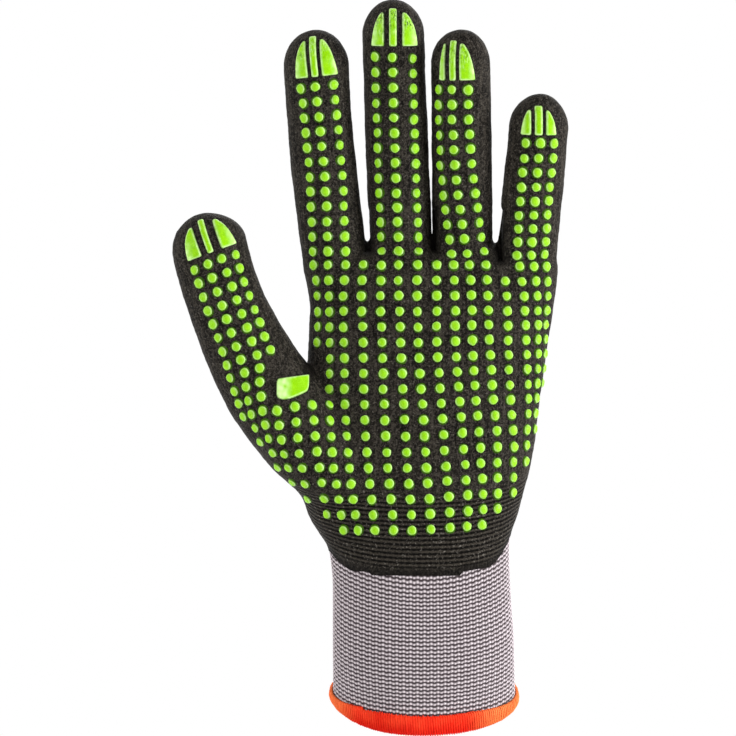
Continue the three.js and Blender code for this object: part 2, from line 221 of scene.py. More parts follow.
def handTube():
    rows = [(hand["cuffLength"] * s["at"], hand["cuffWidth"], hand["cuffDepth"], s)
            for s in cuffSections]
    rows += [(hand["cuffLength"] + hand["palmLength"] * s["at"], hand["palmWidth"],
              hand["palmDepth"], dict(s, tilt=0, set=1)) for s in palmSections]
    at = [r[0] for r in rows]
    w = np.linspace(-12, knuckle + 1, 100)
    column = lambda value: easeThrough(at, [value(*r) for r in rows], w)
    tilt = np.radians(hand["mouthTilt"] * column(lambda z, width, depth, s: s["tilt"]))
    zero = np.zeros_like(w)
    setback = hand["setback"] * column(lambda z, width, depth, s: s["set"])
    squarer = hand["squareness"] - hand["mouthSquareness"]
    return Tube(
        "hand", w, np.stack([zero, -setback, w], -1),
        np.stack([zero, -np.sin(tilt), np.cos(tilt)], -1), np.stack([zero + 1, zero, zero], -1),
        column(lambda z, width, depth, s: width * s["left"]),
        column(lambda z, width, depth, s: width * s["right"]),
        column(lambda z, width, depth, s: depth * s["depth"] / 2),
        hand["mouthRound"], hand["topRound"],
        hand["mouthSquareness"] + squarer * smoothStep(0, hand["squareOver"], w))


def digitTube(name, points, sections, width, depth, turn):
    a, b, c = (np.array(p, float) for p in points)
    t = np.linspace(0, 1, 61)[:, None]
    centre = a * (1 - t) ** 2 + 2 * b * t * (1 - t) + c * t * t
    along = unit((b - a) * (1 - t) + (c - b) * t)
    w = np.concatenate([[0], np.cumsum(np.linalg.norm(np.diff(centre, axis=0), axis=1))])
    across = unit(np.cross(throughHand, along))
    angle = math.radians(turn)
    across = across * math.cos(angle) + np.cross(along, across) * math.sin(angle)
    at = [s["at"] * (w[-1] - hand["tipRound"]) for s in sections]
    half = easeThrough(at, [s["width"] * width / 2 for s in sections], w)
    deep = easeThrough(at, [s["depth"] * depth / 2 for s in sections], w)
    return Tube(name, w, centre, along, across, half, half, deep,
                hand["rootRound"], hand["tipRound"], w * 0 + hand["digitSquareness"])


def allTubes():
    made = [handTube()]
    palmLeft = hand["palmWidth"] * hand["fingerEdge"]
    edge, y = -palmLeft, -hand["setback"]
    for f in fingers:
        x = edge + f["width"] / 2
        edge += f["width"] + hand["fingerGap"]
        start = np.array([x * hand["fingerFan"], y, knuckle - hand["fingerRoot"]])
        tip = np.array([x + f["lean"], y - f["curl"], knuckle + f["length"]])
        control = (start + tip) / 2
        control[0], control[1] = x + f["lean"] * f["bow"], y - f["curl"] * 0.15
        made.append(digitTube(f["name"], (start, control, tip), fingerSections,
                              f["width"], f["depth"], f["turn"]))
    points = [(-palmLeft * p["edge"] - thumb["reach"] * p["reach"],
               y - thumb["forward"] * p["forward"],
               hand["cuffLength"] + thumb["rise"] * p["rise"]) for p in thumbPoints]
    made.append(digitTube("thumb", points, thumbSections,
                          thumb["width"], thumb["depth"], thumb["turn"]))
    return made


tubes = allTubes()
# fillets between the fingers, at their roots in front and at the back, and at the thumb
blends = dict(web=1.2, root=3.0, rootBack=9.0, backFrom=(-7, 0), thumb=5.0)
clefts = [  # grooves that run down in front from the gaps between the fingers
    dict(x=-18.6, low=150.6), dict(x=3.3, low=151.0), dict(x=25.3, low=147.8),
]
cleftShape = dict(half=0.7, round=1.0, high=164, front=-30, back=-8.5, slope=0.15, fillet=1.4)


def cleftDistance(p):
    c, found = cleftShape, np.full(len(p), farAway)
    for row in clefts:
        a = np.abs(p[:, 0] - row["x"]) - c["half"]
        b = np.maximum(p[:, 1] - c["back"], c["front"] - p[:, 1])
        low = row["low"] + (p[:, 1] - c["back"]) * c["slope"]
        h = np.maximum(low - p[:, 2], p[:, 2] - c["high"])
        out = np.maximum(np.stack([a, b, h], -1), 0)
        d = np.linalg.norm(out, axis=-1) + np.minimum(np.max([a, b, h], axis=0), 0)
        found = np.minimum(found, d - c["round"])
    return found


def formDistance(p):
    found = []
    for tube in tubes:
        d = np.full(len(p), farAway)
        near = np.all((p > tube.low) & (p < tube.high), axis=1)
        if near.any():
            d[near] = tube.measure(p[near])[0]
        found.append(d)
    joined = found[1]
    for d in found[2:-1]:
        joined = meet(joined, d, blends["web"])
    backShare = smoothStep(*blends["backFrom"], p[:, 1])
    root = blends["root"] + (blends["rootBack"] - blends["root"]) * backShare
    whole = meet(meet(found[0], joined, root), found[-1], blends["thumb"])
    return -meet(-whole, cleftDistance(p), cleftShape["fillet"])


def formNormal(p, reach=0.35):
    grow = []
    for axis in np.eye(3) * reach:
        grow.append(formDistance(p + axis) - formDistance(p - axis))
    return unit(np.stack(grow, -1))


def surfaceNet(values, origin, cell):  # quads where the values cross zero
    shape = np.array(values.shape) - 1
    total, count, edges = np.zeros((shape.prod(), 3)), np.zeros(shape.prod()), []
    for axis in range(3):
        low = np.moveaxis(values, axis, 0)[:-1]
        high = np.moveaxis(values, axis, 0)[1:]
        crossing = np.moveaxis((low < 0) != (high < 0), 0, axis)
        e = np.argwhere(crossing)
        a = values[tuple(e.T)]
        ahead = e + np.eye(3, dtype=int)[axis]
        t = a / (a - values[tuple(ahead.T)])
        place = e + np.eye(3)[axis] * t[:, None]
        one, two = np.eye(3, dtype=int)[(axis + 1) % 3], np.eye(3, dtype=int)[(axis + 2) % 3]
        cells = np.stack([e - one - two, e - two, e, e - one], 1)
        inside = np.all((cells >= 0) & (cells < shape), axis=(1, 2))
        cells, place, a = cells[inside], place[inside], a[inside]
        flat = np.ravel_multi_index(tuple(np.moveaxis(cells, -1, 0)), tuple(shape))
        flat[a > 0] = flat[a > 0, ::-1]
        for corner in range(4):
            for k in range(3):
                total[:, k] += np.bincount(flat[:, corner], place[:, k], len(total))
            count += np.bincount(flat[:, corner], minlength=len(count))
        edges.append(flat)
    used = count > 0
    number = np.cumsum(used) - 1
    points = origin + cell * total[used] / count[used][:, None]
    return points, number[np.concatenate(edges)]


def onForm(p, steps=2):
    for _ in range(steps):
        p = p - formNormal(p) * formDistance(p)[:, None]
    return p


def neighbours(faces):
    pairs = np.concatenate([faces[:, [i, (i + 1) % 4]] for i in range(4)])
    return np.unique(np.sort(pairs, axis=1), axis=0)


def relax(points, faces, rounds):
    pairs = neighbours(faces)
    ends = np.concatenate([pairs, pairs[:, ::-1]])
    many = np.bincount(ends[:, 0], minlength=len(points))
    free = many > 2
    for _ in range(rounds):
        mean = np.stack([np.bincount(ends[:, 0], points[ends[:, 1], k], len(points))
                         for k in range(3)], -1)
        mean /= many[:, None]
        points = np.where(free[:, None], points * 0.5 + mean * 0.5, points)
    return points


def splitQuads(points, faces):
    pairs = neighbours(faces)
    key = pairs[:, 0] * len(points) + pairs[:, 1]
    corner = []
    for i in range(4):
        ends = np.sort(faces[:, [i, (i + 1) % 4]], axis=1)
        corner.append(len(points) + np.searchsorted(key, ends[:, 0] * len(points) + ends[:, 1]))
    centre = len(points) + len(pairs) + np.arange(len(faces))
    grown = np.concatenate([points, points[pairs].mean(1), points[faces].mean(1)])
    quads = [np.stack([faces[:, i], corner[i], centre, corner[i - 1]], 1) for i in range(4)]
    return grown, np.concatenate(quads)


def handSurface(cell=1.35, bottom=38, margin=3):
    low = np.array(cadBox[0]) / mm - margin
    high = np.array(cadBox[1]) / mm + margin
    low[2] = bottom
    count = np.ceil((high - low) / cell).astype(int) + 1
    axes = [low[i] + cell * np.arange(count[i]) for i in range(3)]
    grid = np.stack(np.meshgrid(*axes, indexing="ij"), -1)
    values = formDistance(grid.reshape(-1, 3)).reshape(count)
    points, faces = surfaceNet(values, low, cell)
    for _ in range(3):
        points = onForm(relax(points, faces, 2), 1)
    return onForm(points), faces


formPoints, formFaces = handSurface()
finePoints, fineFaces = splitQuads(formPoints, formFaces)
finePoints = onForm(finePoints)
print("hand form:", len(formFaces), "and", len(fineFaces), "faces")


# Cutting and thickening


def clip(points, faces, cover, snap=0.08):  # keeps the part of a mesh where cover is above zero
    cover = np.where(np.abs(cover) < snap, 0.0, cover)
    faces = np.asarray(faces)
    faces = faces[(cover[faces] > 0).any(axis=1)]
    bm = bmesh.new()
    layer = bm.verts.layers.float.new("cover")
    used = np.unique(faces)
    made = {i: bm.verts.new(points[i]) for i in used}
    for i, v in made.items():
        v[layer] = cover[i]
    for f in faces:
        bm.faces.new([made[i] for i in f])
    zero = [v for v in bm.verts if v[layer] == 0]
    for e in list(bm.edges):
        a, b = e.verts
        if a[layer] * b[layer] < 0:
            new = bmesh.utils.edge_split(e, a, a[layer] / (a[layer] - b[layer]))[1]
            new[layer] = 0
            zero.append(new)
    bmesh.ops.connect_verts(bm, verts=zero)
    gone = [f for f in bm.faces
            if min(v[layer] for v in f.verts) < 0 or max(v[layer] for v in f.verts) <= 0]
    bmesh.ops.delete(bm, geom=gone, context="FACES")
    bm.verts.index_update()
    cutPoints = np.array([v.co for v in bm.verts])
    cutFaces = [tuple(v.index for v in f.verts) for f in bm.faces]
    bm.free()
    return cutPoints, cutFaces


def rimOf(faces):  # the open edges, each in its face's direction
    seen = {}
    for f in faces:
        for i, a in enumerate(f):
            b = f[(i + 1) % len(f)]
            if (b, a) in seen:
                del seen[b, a]
            else:
                seen[a, b] = True
    return list(seen)


def wall(outer, inner, faces):  # a closed wall between two copies of a mesh
    count = len(outer)
    turned = [tuple(count + i for i in reversed(f)) for f in faces]
    rim = [(b, a, count + a, count + b) for a, b in rimOf(faces)]
    return np.concatenate([outer, inner]), list(map(tuple, faces)) + turned + rim


def addObject(name, data):
    made = bpy.data.objects.new(name, data)
    bpy.context.scene.collection.objects.link(made)
    return made


def addMark(mesh, name, values, kind="FLOAT", field="value"):  # a value for each point
    layer = mesh.attributes.new(name, kind, "POINT")
    layer.data.foreach_set(field, np.asarray(values, np.float32).ravel())


def makePiece(name, points, faces, finish, uv=None, marks=None):
    mesh = bpy.data.meshes.new(name)
    mesh.from_pydata((np.asarray(points) * mm).tolist(), [], [list(map(int, f)) for f in faces])
    if uv is not None:
        layer = mesh.uv_layers.new(name="knitPlace")
        layer.data.foreach_set("uv", np.asarray(uv, np.float32).ravel())
    for key, values in (marks or {}).items():
        addMark(mesh, key, values)
    mesh.shade_smooth()
    mesh.materials.append(finish)
    return addObject(name, mesh)


def own(piece, slot, *nodes):
    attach(piece, "root")
    if nodes:
        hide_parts(*nodes)


# Node trees


class Wire:  # one socket of a node tree: Python's operators on it add Math nodes
    def __init__(self, tree, link=None):
        self.tree, self.link = tree, link

    def node(self, kind, settings=None, values=None, out=0):
        made = self.tree.nodes.new(kind)
        for key, value in (settings or {}).items():
            setattr(made, key, value)
        for key, value in (values or {}).items():
            if isinstance(value, Wire):
                self.tree.links.new(value.link, made.inputs[key])
            else:
                made.inputs[key].default_value = value
        return Wire(self.tree, made.outputs[out])

    def math(self, operation, *values):
        return self.node("ShaderNodeMath", {"operation": operation}, dict(enumerate(values)))

    def __add__(self, other):
        return self.math("ADD", self, other)

    def __sub__(self, other):
        return self.math("SUBTRACT", self, other)

    def __rsub__(self, other):
        return self.math("SUBTRACT", other, self)

    def __mul__(self, other):
        return self.math("MULTIPLY", self, other)

    def __truediv__(self, other):
        return self.math("DIVIDE", self, other)

    def __rtruediv__(self, other):
        return self.math("DIVIDE", other, self)

    def __mod__(self, other):
        return self.math("FLOORED_MODULO", self, other)

    def __abs__(self):
        return self.math("ABSOLUTE", self)

    __radd__, __rmul__ = __add__, __mul__

    def wave(self):  # from 0 to 1 and back as the value goes up by 1, with 1 at whole numbers
        return self.math("COSINE", self * (2 * math.pi)) * 0.5 + 0.5

    def step(self, low, high):
        return self.node("ShaderNodeMapRange", {"interpolation_type": "SMOOTHSTEP"},
                         {"Value": self, "From Min": low, "From Max": high})

    def mix(self, low, high):  # a colour between two, at this value as the factor
        return self.node("ShaderNodeMix", {"data_type": "RGBA"}, {0: self, 6: low, 7: high}, 2)


def colour(r, g, b):
    return (r, g, b, 1.0)


class Finish:  # a material with its Principled shader and the wires that it starts from
    def __init__(self, name, **fixed):
        self.material = bpy.data.materials.new(name)
        self.material.use_nodes = True
        tree = self.material.node_tree
        self.shader = next(n for n in tree.nodes if n.type == "BSDF_PRINCIPLED")
        self.tree, self.start = tree, Wire(tree)
        for key, value in fixed.items():
            self.shader.inputs[key].default_value = value
        self.place = self.start.node("ShaderNodeTexCoord", out="Object")

    def uv(self):
        both = self.start.node("ShaderNodeUVMap", {"uv_map": "knitPlace"})
        parts = self.start.node("ShaderNodeSeparateXYZ", values={"Vector": both})
        node = parts.link.node
        return Wire(self.tree, node.outputs["X"]), Wire(self.tree, node.outputs["Y"])

    def mark(self, name):
        return self.start.node("ShaderNodeAttribute", {"attribute_name": name}, out="Fac")

    def noise(self, size, detail=2.0, rough=0.5, stretch=(1, 1, 1)):  # size in millimetres
        spread = {"Vector": self.place, "Scale": stretch}
        place = self.start.node("ShaderNodeMapping", values=spread)
        return self.start.node("ShaderNodeTexNoise", values={
            "Vector": place, "Scale": 1 / (size * mm), "Detail": detail, "Roughness": rough})

    def bump(self, height, deep):  # deep in millimetres
        values = {"Height": height, "Strength": 1.0, "Distance": deep * mm}
        return self.start.node("ShaderNodeBump", values=values)

    def feed(self, **wires):
        for key, wire in wires.items():
            self.tree.links.new(wire.link, self.shader.inputs[key.replace("_", " ")])
        return self.material


def knitFinish(name, look):  # loops from the piece's own wale and course numbers
    f = Finish(name, Roughness=look["roughness"])
    f.shader.inputs["Sheen Weight"].default_value = look["sheen"]
    f.shader.inputs["Specular IOR Level"].default_value = 0.25
    wale, course = f.uv()
    wale = wale + (f.noise(2.6) - 0.5 + (f.noise(0.9) - 0.5) * 0.8) * look["stray"]
    course = course + (f.noise(3.4, stretch=(1, 1, 1.6)) - 0.5) * look["stray"]
    fibre = f.noise(0.16, 2.0, 0.6)
    if look["loops"] == "beads":  # pairs of beads, one a little higher and painted brighter than the other
        pair = (wale * 0.5).wave()
        row = (course - (pair * 2 - 1) * look["pairShift"]).wave()
        bead = wale.wave() * look["beadDepth"] + (1 - look["beadDepth"])
        height = row * bead
        light = height * (pair * look["pairs"] + (1 - look["pairs"]))
        light = light + pair * (1 - row) * look["gapLight"]
    else:  # two slanted legs to each loop
        side = abs((wale % 1) - 0.5) * 2
        lift = (course % 1)
        middle = lift * 0.42 + 0.27
        leg = 1 - (abs(side - middle) / 0.34).step(0.35, 1.0)
        join = (abs(lift - 0.5) * 2).step(0.75, 1.0)
        height = leg * (1 - join * 0.5)
        light = height * (1 - join * look["pairs"])
    darker = colour(*[c * 0.86 for c in look["yarn"]])
    yarn = (f.noise(5.0, 3.0) * 0.3 + 0.85).mix(darker, colour(*look["yarn"]))
    # painted light and shade: the yarn's colour where the loops stand high, the dark gap colour
    # where they sink between beads and rows
    lit = (light + fibre * 0.22 - 0.11).step(look["shade"], look["contrast"])
    shade = lit.mix(colour(*look["gap"]), yarn)
    return f.feed(Base_Color=shade, Normal=f.bump(height + fibre * 0.16, look["relief"]))


def nitrileFinish(look):  # a foamed skin with fine grain, and the knit's rows near the wrist
    f = Finish("nitrileSkin", Roughness=look["roughness"])
    f.shader.inputs["Specular IOR Level"].default_value = look["specular"]
    wale, _ = f.uv()
    ridgeMask, edge = f.mark("ridges"), f.mark("edge")
    ridge = (f.mark("level") + (f.noise(6.0) - 0.5) * 0.3).wave()
    grain, fine = f.noise(look["grain"], 2.0, 0.6), f.noise(look["grain"] * 0.5, 2.0, 0.6)
    streak = f.noise(1.5, 2.0, 0.5, stretch=(1, 1, 0.14))
    cloud = f.noise(9.0, 3.0, 0.55)
    speck = f.noise(look["speckSize"], 1.0, 0.5).step(0.6, 0.74)
    tone = (grain * 0.42 + fine * 0.34 + streak * 0.24).step(0.43, 0.6) * 0.85
    tone = tone + cloud.step(0.3, 0.7) * 0.15
    row = (ridge + (wale * 0.6 + cloud).wave() * 0.3 - 0.12).step(0.12, 0.8) * 0.8
    row = row * (fine.step(0.36, 0.62) * 0.75 + 0.45)
    tone = tone * 0.76 * (1 - ridgeMask) + row * ridgeMask
    base = tone.mix(colour(*look["dark"]), colour(*look["pale"]))
    speck = speck * look["speckShare"] * (ridge * ridgeMask * 0.8 + 0.4)
    base = speck.mix(base, colour(*look["speck"]))
    # darker along the coat's edge, and painted shade in the grooves between the fingers and in the
    # crease beside the thumb
    base = (edge * 0.7).mix(base, colour(*look["edge"]))
    height = grain * 0.6 + fine * 0.3 + wale.wave() * 0.14 + ridge * ridgeMask * 1.2
    rough = grain * 0.16 + (look["roughness"] - 0.08)
    return f.feed(Base_Color=base, Roughness=rough, Normal=f.bump(height, look["relief"]))


def gripFinish(look):  # printed rubber: satin, with a painted highlight on the rim, painted shade round the foot, and fine specks
    f = Finish("gripPrint", Roughness=look["roughness"])
    f.shader.inputs["Specular IOR Level"].default_value = look["specular"]
    rim, worn, foot = f.mark("rim"), f.mark("worn"), f.mark("foot")
    grain, patchy = f.noise(look["grain"], 2.0, 0.6), f.noise(1.8, 2.0, 0.5)
    speck = 1 - f.noise(0.5, 2.0, 0.7, stretch=(1, 1, 0.4)).step(0.42, 0.5)
    chalk = f.noise(0.5, 2.0, 0.6, stretch=(1, 1, 0.25)).step(0.42, 0.66)
    chalk = chalk * f.noise(4.5).step(0.38, 0.62)
    share = patchy.step(0.3, 0.7) * 0.55 + grain.step(0.35, 0.65) * 0.45
    body = share.mix(colour(*look["deep"]), colour(*look["green"]))
    # painted highlight: paler where the rim mark is set
    body = (rim * look["highlightShare"]).mix(body, colour(*look["rim"]))
    body = (chalk * worn.step(0.0, 0.3) * 0.42).mix(body, colour(*look["rim"]))
    body = (speck * worn * 0.8).mix(body, colour(*look["speck"]))
    # painted shade: a dark ring round the foot of each dot and pad
    body = (foot * 0.92).mix(body, colour(*look["speck"]))
    rough = grain * 0.2 + look["roughness"] - 0.1
    normal = f.bump(grain + patchy * 0.7, look["relief"])
    return f.feed(Base_Color=body, Roughness=rough, Normal=normal)


def threadFinish(name, look):  # matt thread with fine fibres, painted shade that makes it redder below and painted light that makes it orange at the sides
    f = Finish(name, Roughness=look["roughness"])
    f.shader.inputs["Specular IOR Level"].default_value = 0.06
    fibre = f.noise(0.22, 2.0, 0.6, stretch=(1, 1, 0.3))
    patchy = f.noise(7.0, 2.0, 0.5)
    share = fibre.step(0.3, 0.7) * 0.6 + patchy.step(0.35, 0.65) * 0.4
    body = share.mix(colour(*look["deep"]), colour(*look["bright"]))
    # painted shade: darker red low on the roll
    body = (f.mark("low") * 0.75).mix(body, colour(*look["under"]))
    # painted light: orange at the sides
    body = (f.mark("aside") * 0.8).mix(body, colour(*look["aside"]))
    return f.feed(Base_Color=body, Normal=f.bump(fibre, look["relief"]))


finishes = dict(
    # each knit's gap colour is painted shade, where its loops sink
    cuff=knitFinish("knitCuffYarn", dict(
        loops="beads", yarn=(0.66, 0.585, 0.615), gap=(0.028, 0.017, 0.02),
        roughness=0.85, sheen=0.06, stray=0.26, pairShift=0.1, beadDepth=0.5, pairs=0.08,
        gapLight=0.1, shade=0.0, contrast=1.02, relief=0.25)),
    back=knitFinish("knitBackYarn", dict(
        loops="legs", yarn=(0.5, 0.46, 0.485), gap=(0.06, 0.048, 0.054), roughness=0.85,
        sheen=0.1, stray=0.16, pairs=0.35, shade=0.02, contrast=0.7, relief=0.3)),
    # edge is the colour of the darker coat edge and of the painted shade in the grooves and the
    # crease
    nitrile=nitrileFinish(dict(
        roughness=0.58, specular=0.05, grain=0.95, relief=0.55, speckSize=0.7, speckShare=0.8,
        dark=(0.0022, 0.0017, 0.0012), pale=(0.054, 0.0465, 0.0375), speck=(0.17, 0.155, 0.135),
        edge=(0.003, 0.0025, 0.0022))),
    # rim is the colour of the painted highlight and of worn chalk; speck the colour of worn specks
    # and of the painted shade round the foot
    grip=gripFinish(dict(
        roughness=0.26, specular=0.1, grain=0.35, relief=0.05, green=(0.27, 0.59, 0.006),
        deep=(0.2, 0.5, 0.002), rim=(0.6, 0.84, 0.36), highlightShare=0.85, speck=(0.012, 0.045, 0.001))),
    # the under colour is painted shade low on the roll, the last colour painted light at the sides
    thread=threadFinish("hemThread", dict(
        roughness=0.5, relief=0.05, bright=(0.86, 0.062, 0.02), deep=(0.7, 0.01, 0.003),
        under=(0.62, 0.004, 0.001), aside=(0.84, 0.25, 0.07))),
)
print("finishes made:", len(finishes))


# The knit's rows: in the cuff they rise towards the back

cuff = dict(
    wales=144, course=1.42, low=2.2, levelUpTo=16, perWale=4, perCourse=4, bead=0.2,
    pairShift=0.06, innerRows=6, rowTilt=26, overlap=1.2,
)


def courseLift(share, w):  # makes up for sections that are tilted less than the rows
    along = tubes[0].axes["along"]
    tilt = np.interp(w, tubes[0].w, -along[:, 1] / along[:, 2])
    depth = np.interp(w, tubes[0].w, tubes[0].depth)
    missing = np.maximum(math.tan(math.radians(cuff["rowTilt"])) - tilt, 0)
    return -missing * depth * np.cos(share * 2 * math.pi)


# The knitted hand, from the wrist up

knit = dict(course=1.05, wales=150, digitWales=50, split=58)


def knitPlaces(points, faces, course):  # wale and course numbers for each face corner
    faces = [tuple(f) for f in faces]
    loops = np.array([i for f in faces for i in f])
    owner = np.repeat(np.arange(len(faces)), [len(f) for f in faces])
    total = np.stack([np.bincount(owner, points[loops, k]) for k in range(3)], -1)
    centres = total / np.bincount(owner)[:, None]
    nearest = np.argmin([t.measure(centres)[0] for t in tubes], axis=0)
    uv = np.zeros((len(loops), 2))
    for k, tube in enumerate(tubes):
        mine = nearest[owner] == k
        if not mine.any():
            continue
        _, w, u, v = tube.measure(points[loops[mine]])
        share = tube.share(w, u, v)
        first = np.zeros(len(faces))
        first[owner[mine]] = share
        share = share - np.round(share - first[owner[mine]])
        wales = knit["wales"] if k == 0 else knit["digitWales"]
        uv[mine] = np.stack([share * wales, w / course], -1)
    return uv


def wallPlaces(uv, faces):  # the same places for a wall's outer faces, inner faces and rim
    sizes = [len(f) for f in faces]
    starts = np.concatenate([[0], np.cumsum(sizes)])
    turned = np.concatenate([uv[a:b][::-1] for a, b in zip(starts, starts[1:])])
    at = {}
    for f, a in zip(faces, starts):
        for k, i in enumerate(f):
            at[i] = uv[a + k]
    rim = [at[i] for a, b in rimOf(faces) for i in (b, a, a, b)]
    return np.concatenate([uv, turned, np.array(rim).reshape(-1, 2)])


def aboveCuff(p):  # above 0 over the last row of the cuff's knit
    _, w, u, v = tubes[0].measure(p)
    return w - courseLift(tubes[0].share(w, u, v), w) - knit["split"]


def buildKnitHand():
    points, faces = clip(formPoints, formFaces, aboveCuff(formPoints))
    normals = formNormal(points)
    uv = knitPlaces(points, faces, knit["course"])
    whole, allFaces = wall(points, points - normals * hand["knitWall"], faces)
    piece = makePiece("knitHand", whole, allFaces, finishes["back"], wallPlaces(uv, faces))
    own(piece, "knit", "knit_palm", "knit_thumb", *["knit_" + f["name"] for f in fingers])
    print("knitted hand:", len(allFaces), "faces")


# The knitted cuff: rows of small beads, one row to a course

def cuffPoint(share, w, out):  # a point round the cuff at a share of its girth, grown by out
    tube = tubes[0]
    centre, across, back, left, right, depth, square = tube.frame(
        w, "centre", "across", "back", "left", "right", "depth", "square")
    row = np.clip(np.interp(w, tube.w, np.arange(len(tube.w))), 0, len(tube.w) - 1.001)
    low = row.astype(int)
    k = row - low
    angle = np.empty_like(share)
    for i in np.unique(low):
        here = low == i
        a = np.interp(share[here], tube.run[i], tube.turn)
        b = np.interp(share[here], tube.run[i + 1], tube.turn)
        angle[here] = a * (1 - k[here]) + b * k[here]
    e, side, deep = 2 / square, np.sin(angle), -np.cos(angle)
    u = np.sign(side) * np.abs(side) ** e * (np.where(side > 0, right, left) + out)
    v = np.sign(deep) * np.abs(deep) ** e * (depth + out)
    return centre + across * u[..., None] + back * v[..., None]


def ringFaces(rows, columns, closed):
    i, j = np.meshgrid(np.arange(rows if closed else rows - 1), np.arange(columns), indexing="ij")
    here, up, ahead = i * columns, (i + 1) % rows * columns, (j + 1) % columns
    return np.stack([here + j, here + ahead, up + ahead, up + j], -1).reshape(-1, 4)


def buildCuff():
    columns = cuff["wales"] * cuff["perWale"]
    share = (np.arange(columns) / columns) - 0.5
    top = knit["split"] + cuff["overlap"]
    rows = int((top - cuff["low"]) / cuff["course"] * cuff["perCourse"])
    heights = cuff["low"] + np.arange(rows + 1) * cuff["course"] / cuff["perCourse"]
    wale, rings, courses = share * cuff["wales"], [], []

    def addRing(w, out, course):  # level at the mouth, and along the knit's rows further up
        lift = courseLift(share, np.full(columns, w))
        lift = lift * smoothStep(cuff["low"], cuff["levelUpTo"], w)
        rings.append(cuffPoint(share, w + lift, out))
        courses.append(course)

    for n, w in enumerate(heights):
        course = n / cuff["perCourse"]
        shift = cuff["pairShift"] * np.cos(math.pi * wale)
        row = 0.5 + 0.5 * np.cos(2 * math.pi * (course - shift))
        bead = row * (0.7 + 0.3 * np.cos(2 * math.pi * wale))
        addRing(w, cuff["bead"] * (bead * 2 - 0.9), course)
    for w in np.linspace(heights[-1], heights[0], cuff["innerRows"]):
        addRing(w, np.full(columns, -hand["knitWall"]), (w - cuff["low"]) / cuff["course"])
    faces = ringFaces(len(rings), columns, True)
    i, j = faces // columns, faces % columns
    places = np.stack([wale[j], np.array(courses)[i]], -1)
    closing = (j == 0) & (j.max(axis=1, keepdims=True) == columns - 1)
    places[..., 0] += np.where(closing, cuff["wales"], 0)
    piece = makePiece("knitCuff", np.concatenate(rings), faces, finishes["cuff"],
                      places.reshape(-1, 2))
    own(piece, "knit", "knit_cuff")
    print("knitted cuff:", len(faces), "faces")


# The nitrile skin over the palm side and the fingertips

skin = dict(
    wrap=3.5, tipWrap=12, tipFillet=4.0, dipFillet=1.0, blend=1.2, stray=0.45,
    outer=1.15, edge=0.34, inner=0.08, taper=4.5, lumps=0.16, grain=0.05,
    crease=np.array([-39.9, 118.0]), creaseRun=np.array([-0.9, 9.0]), creaseTop=118.0,
    creaseTall=9, creaseRound=1, edgeBand=(0.8, 3.4), foldShadeBand=(0.0, 2.2),
    ridgeLow=54.0, ridgeRise=1.5, ridgeFade=(74.0, 82.0), course=1.47,
)
dipLine = [  # where the dip ends on the cuff, left to right: x and z of each corner
    (-60, 72), (-31, 50.5), (-28.5, 47.6), (-26.3, 45.9), (-24, 44.5), (-18.2, 44.1),
    (-17.5, 43.1), (11.8, 43.0), (12.6, 44.4), (21, 45.6), (23.5, 47.4), (25.6, 50.2),
    (27.4, 53.4), (29, 57), (50, 92),
]


def waver(p, size, seed):  # a smooth stray value from -1 to 1 at each point
    total = np.zeros(len(p))
    stray = np.random.default_rng(seed)
    for _ in range(7):
        way = unit(stray.normal(size=3)) * (2 * math.pi / (size * stray.uniform(0.7, 1.5)))
        total += np.sin(p @ way + stray.uniform(0, 2 * math.pi))
    return total / 3.6


def coatCover(p):  # how far a point lies inside the coated part, in millimetres
    covers, weights = [], []
    for tube in tubes:
        d, w, _, v = tube.measure(p)
        front = skin["wrap"] - v
        if tube.name != "hand":
            front = -meet(-front, tube.w[-1] - skin["tipWrap"] - w, skin["tipFillet"])
        covers.append(front)
        weights.append(d)
    near = np.exp(-(np.array(weights) - np.min(weights, axis=0)) / skin["blend"])
    cover = (np.array(covers) * near).sum(0) / near.sum(0) + waver(p, 14, 3) * skin["stray"]
    dip = p[:, 2] - np.interp(p[:, 0], *zip(*dipLine))
    return meet(cover, dip, skin["dipFillet"])


def buildSkin():
    points, faces = clip(finePoints, fineFaces, coatCover(finePoints))
    normals, cover = formNormal(points), np.maximum(coatCover(points), 0)
    rise = smoothStep(0, skin["taper"], cover)
    lumps = waver(points, 11, 5) * skin["lumps"] + waver(points, 2.1, 6) * skin["grain"]
    out = skin["edge"] + (skin["outer"] - skin["edge"]) * rise + lumps * rise
    outer, inner = points + normals * out[:, None], points + normals * skin["inner"]
    uv = knitPlaces(points, faces, skin["course"])
    whole, allFaces = wall(outer, inner, faces)
    x, y, z = points.T
    level = z - (y + hand["setback"]) * math.tan(math.radians(cuff["rowTilt"]))
    ridges = smoothStep(skin["ridgeLow"], skin["ridgeLow"] + skin["ridgeRise"], level)
    ridges = ridges * (1 - smoothStep(*skin["ridgeFade"], level))
    # darker along the coat's edge, and painted shade in the grooves and in the crease beside the
    # thumb
    down = np.clip((skin["creaseTop"] - z) / skin["creaseTall"], 0, 1)
    crease = skin["crease"] - down[:, None] * skin["creaseRun"]
    creaseAway = np.hypot(x - crease[:, 0], z - crease[:, 1]) - skin["creaseRound"]
    fold = np.minimum(cleftDistance(points), creaseAway)
    edge = np.maximum(1 - smoothStep(*skin["edgeBand"], cover),
                      1 - smoothStep(*skin["foldShadeBand"], fold))
    marks = dict(ridges=ridges, level=level / skin["course"], edge=edge)
    marks = {key: np.tile(values, 2) for key, values in marks.items()}
    piece = makePiece("nitrileSkin", whole, allFaces, finishes["nitrile"],
                      wallPlaces(uv, faces), marks)
    own(piece, "nitrile", "nitrile_coating")
    print("nitrile skin:", len(allFaces), "faces")
    return BVHTree.FromPolygons([Vector(p) for p in outer], faces)
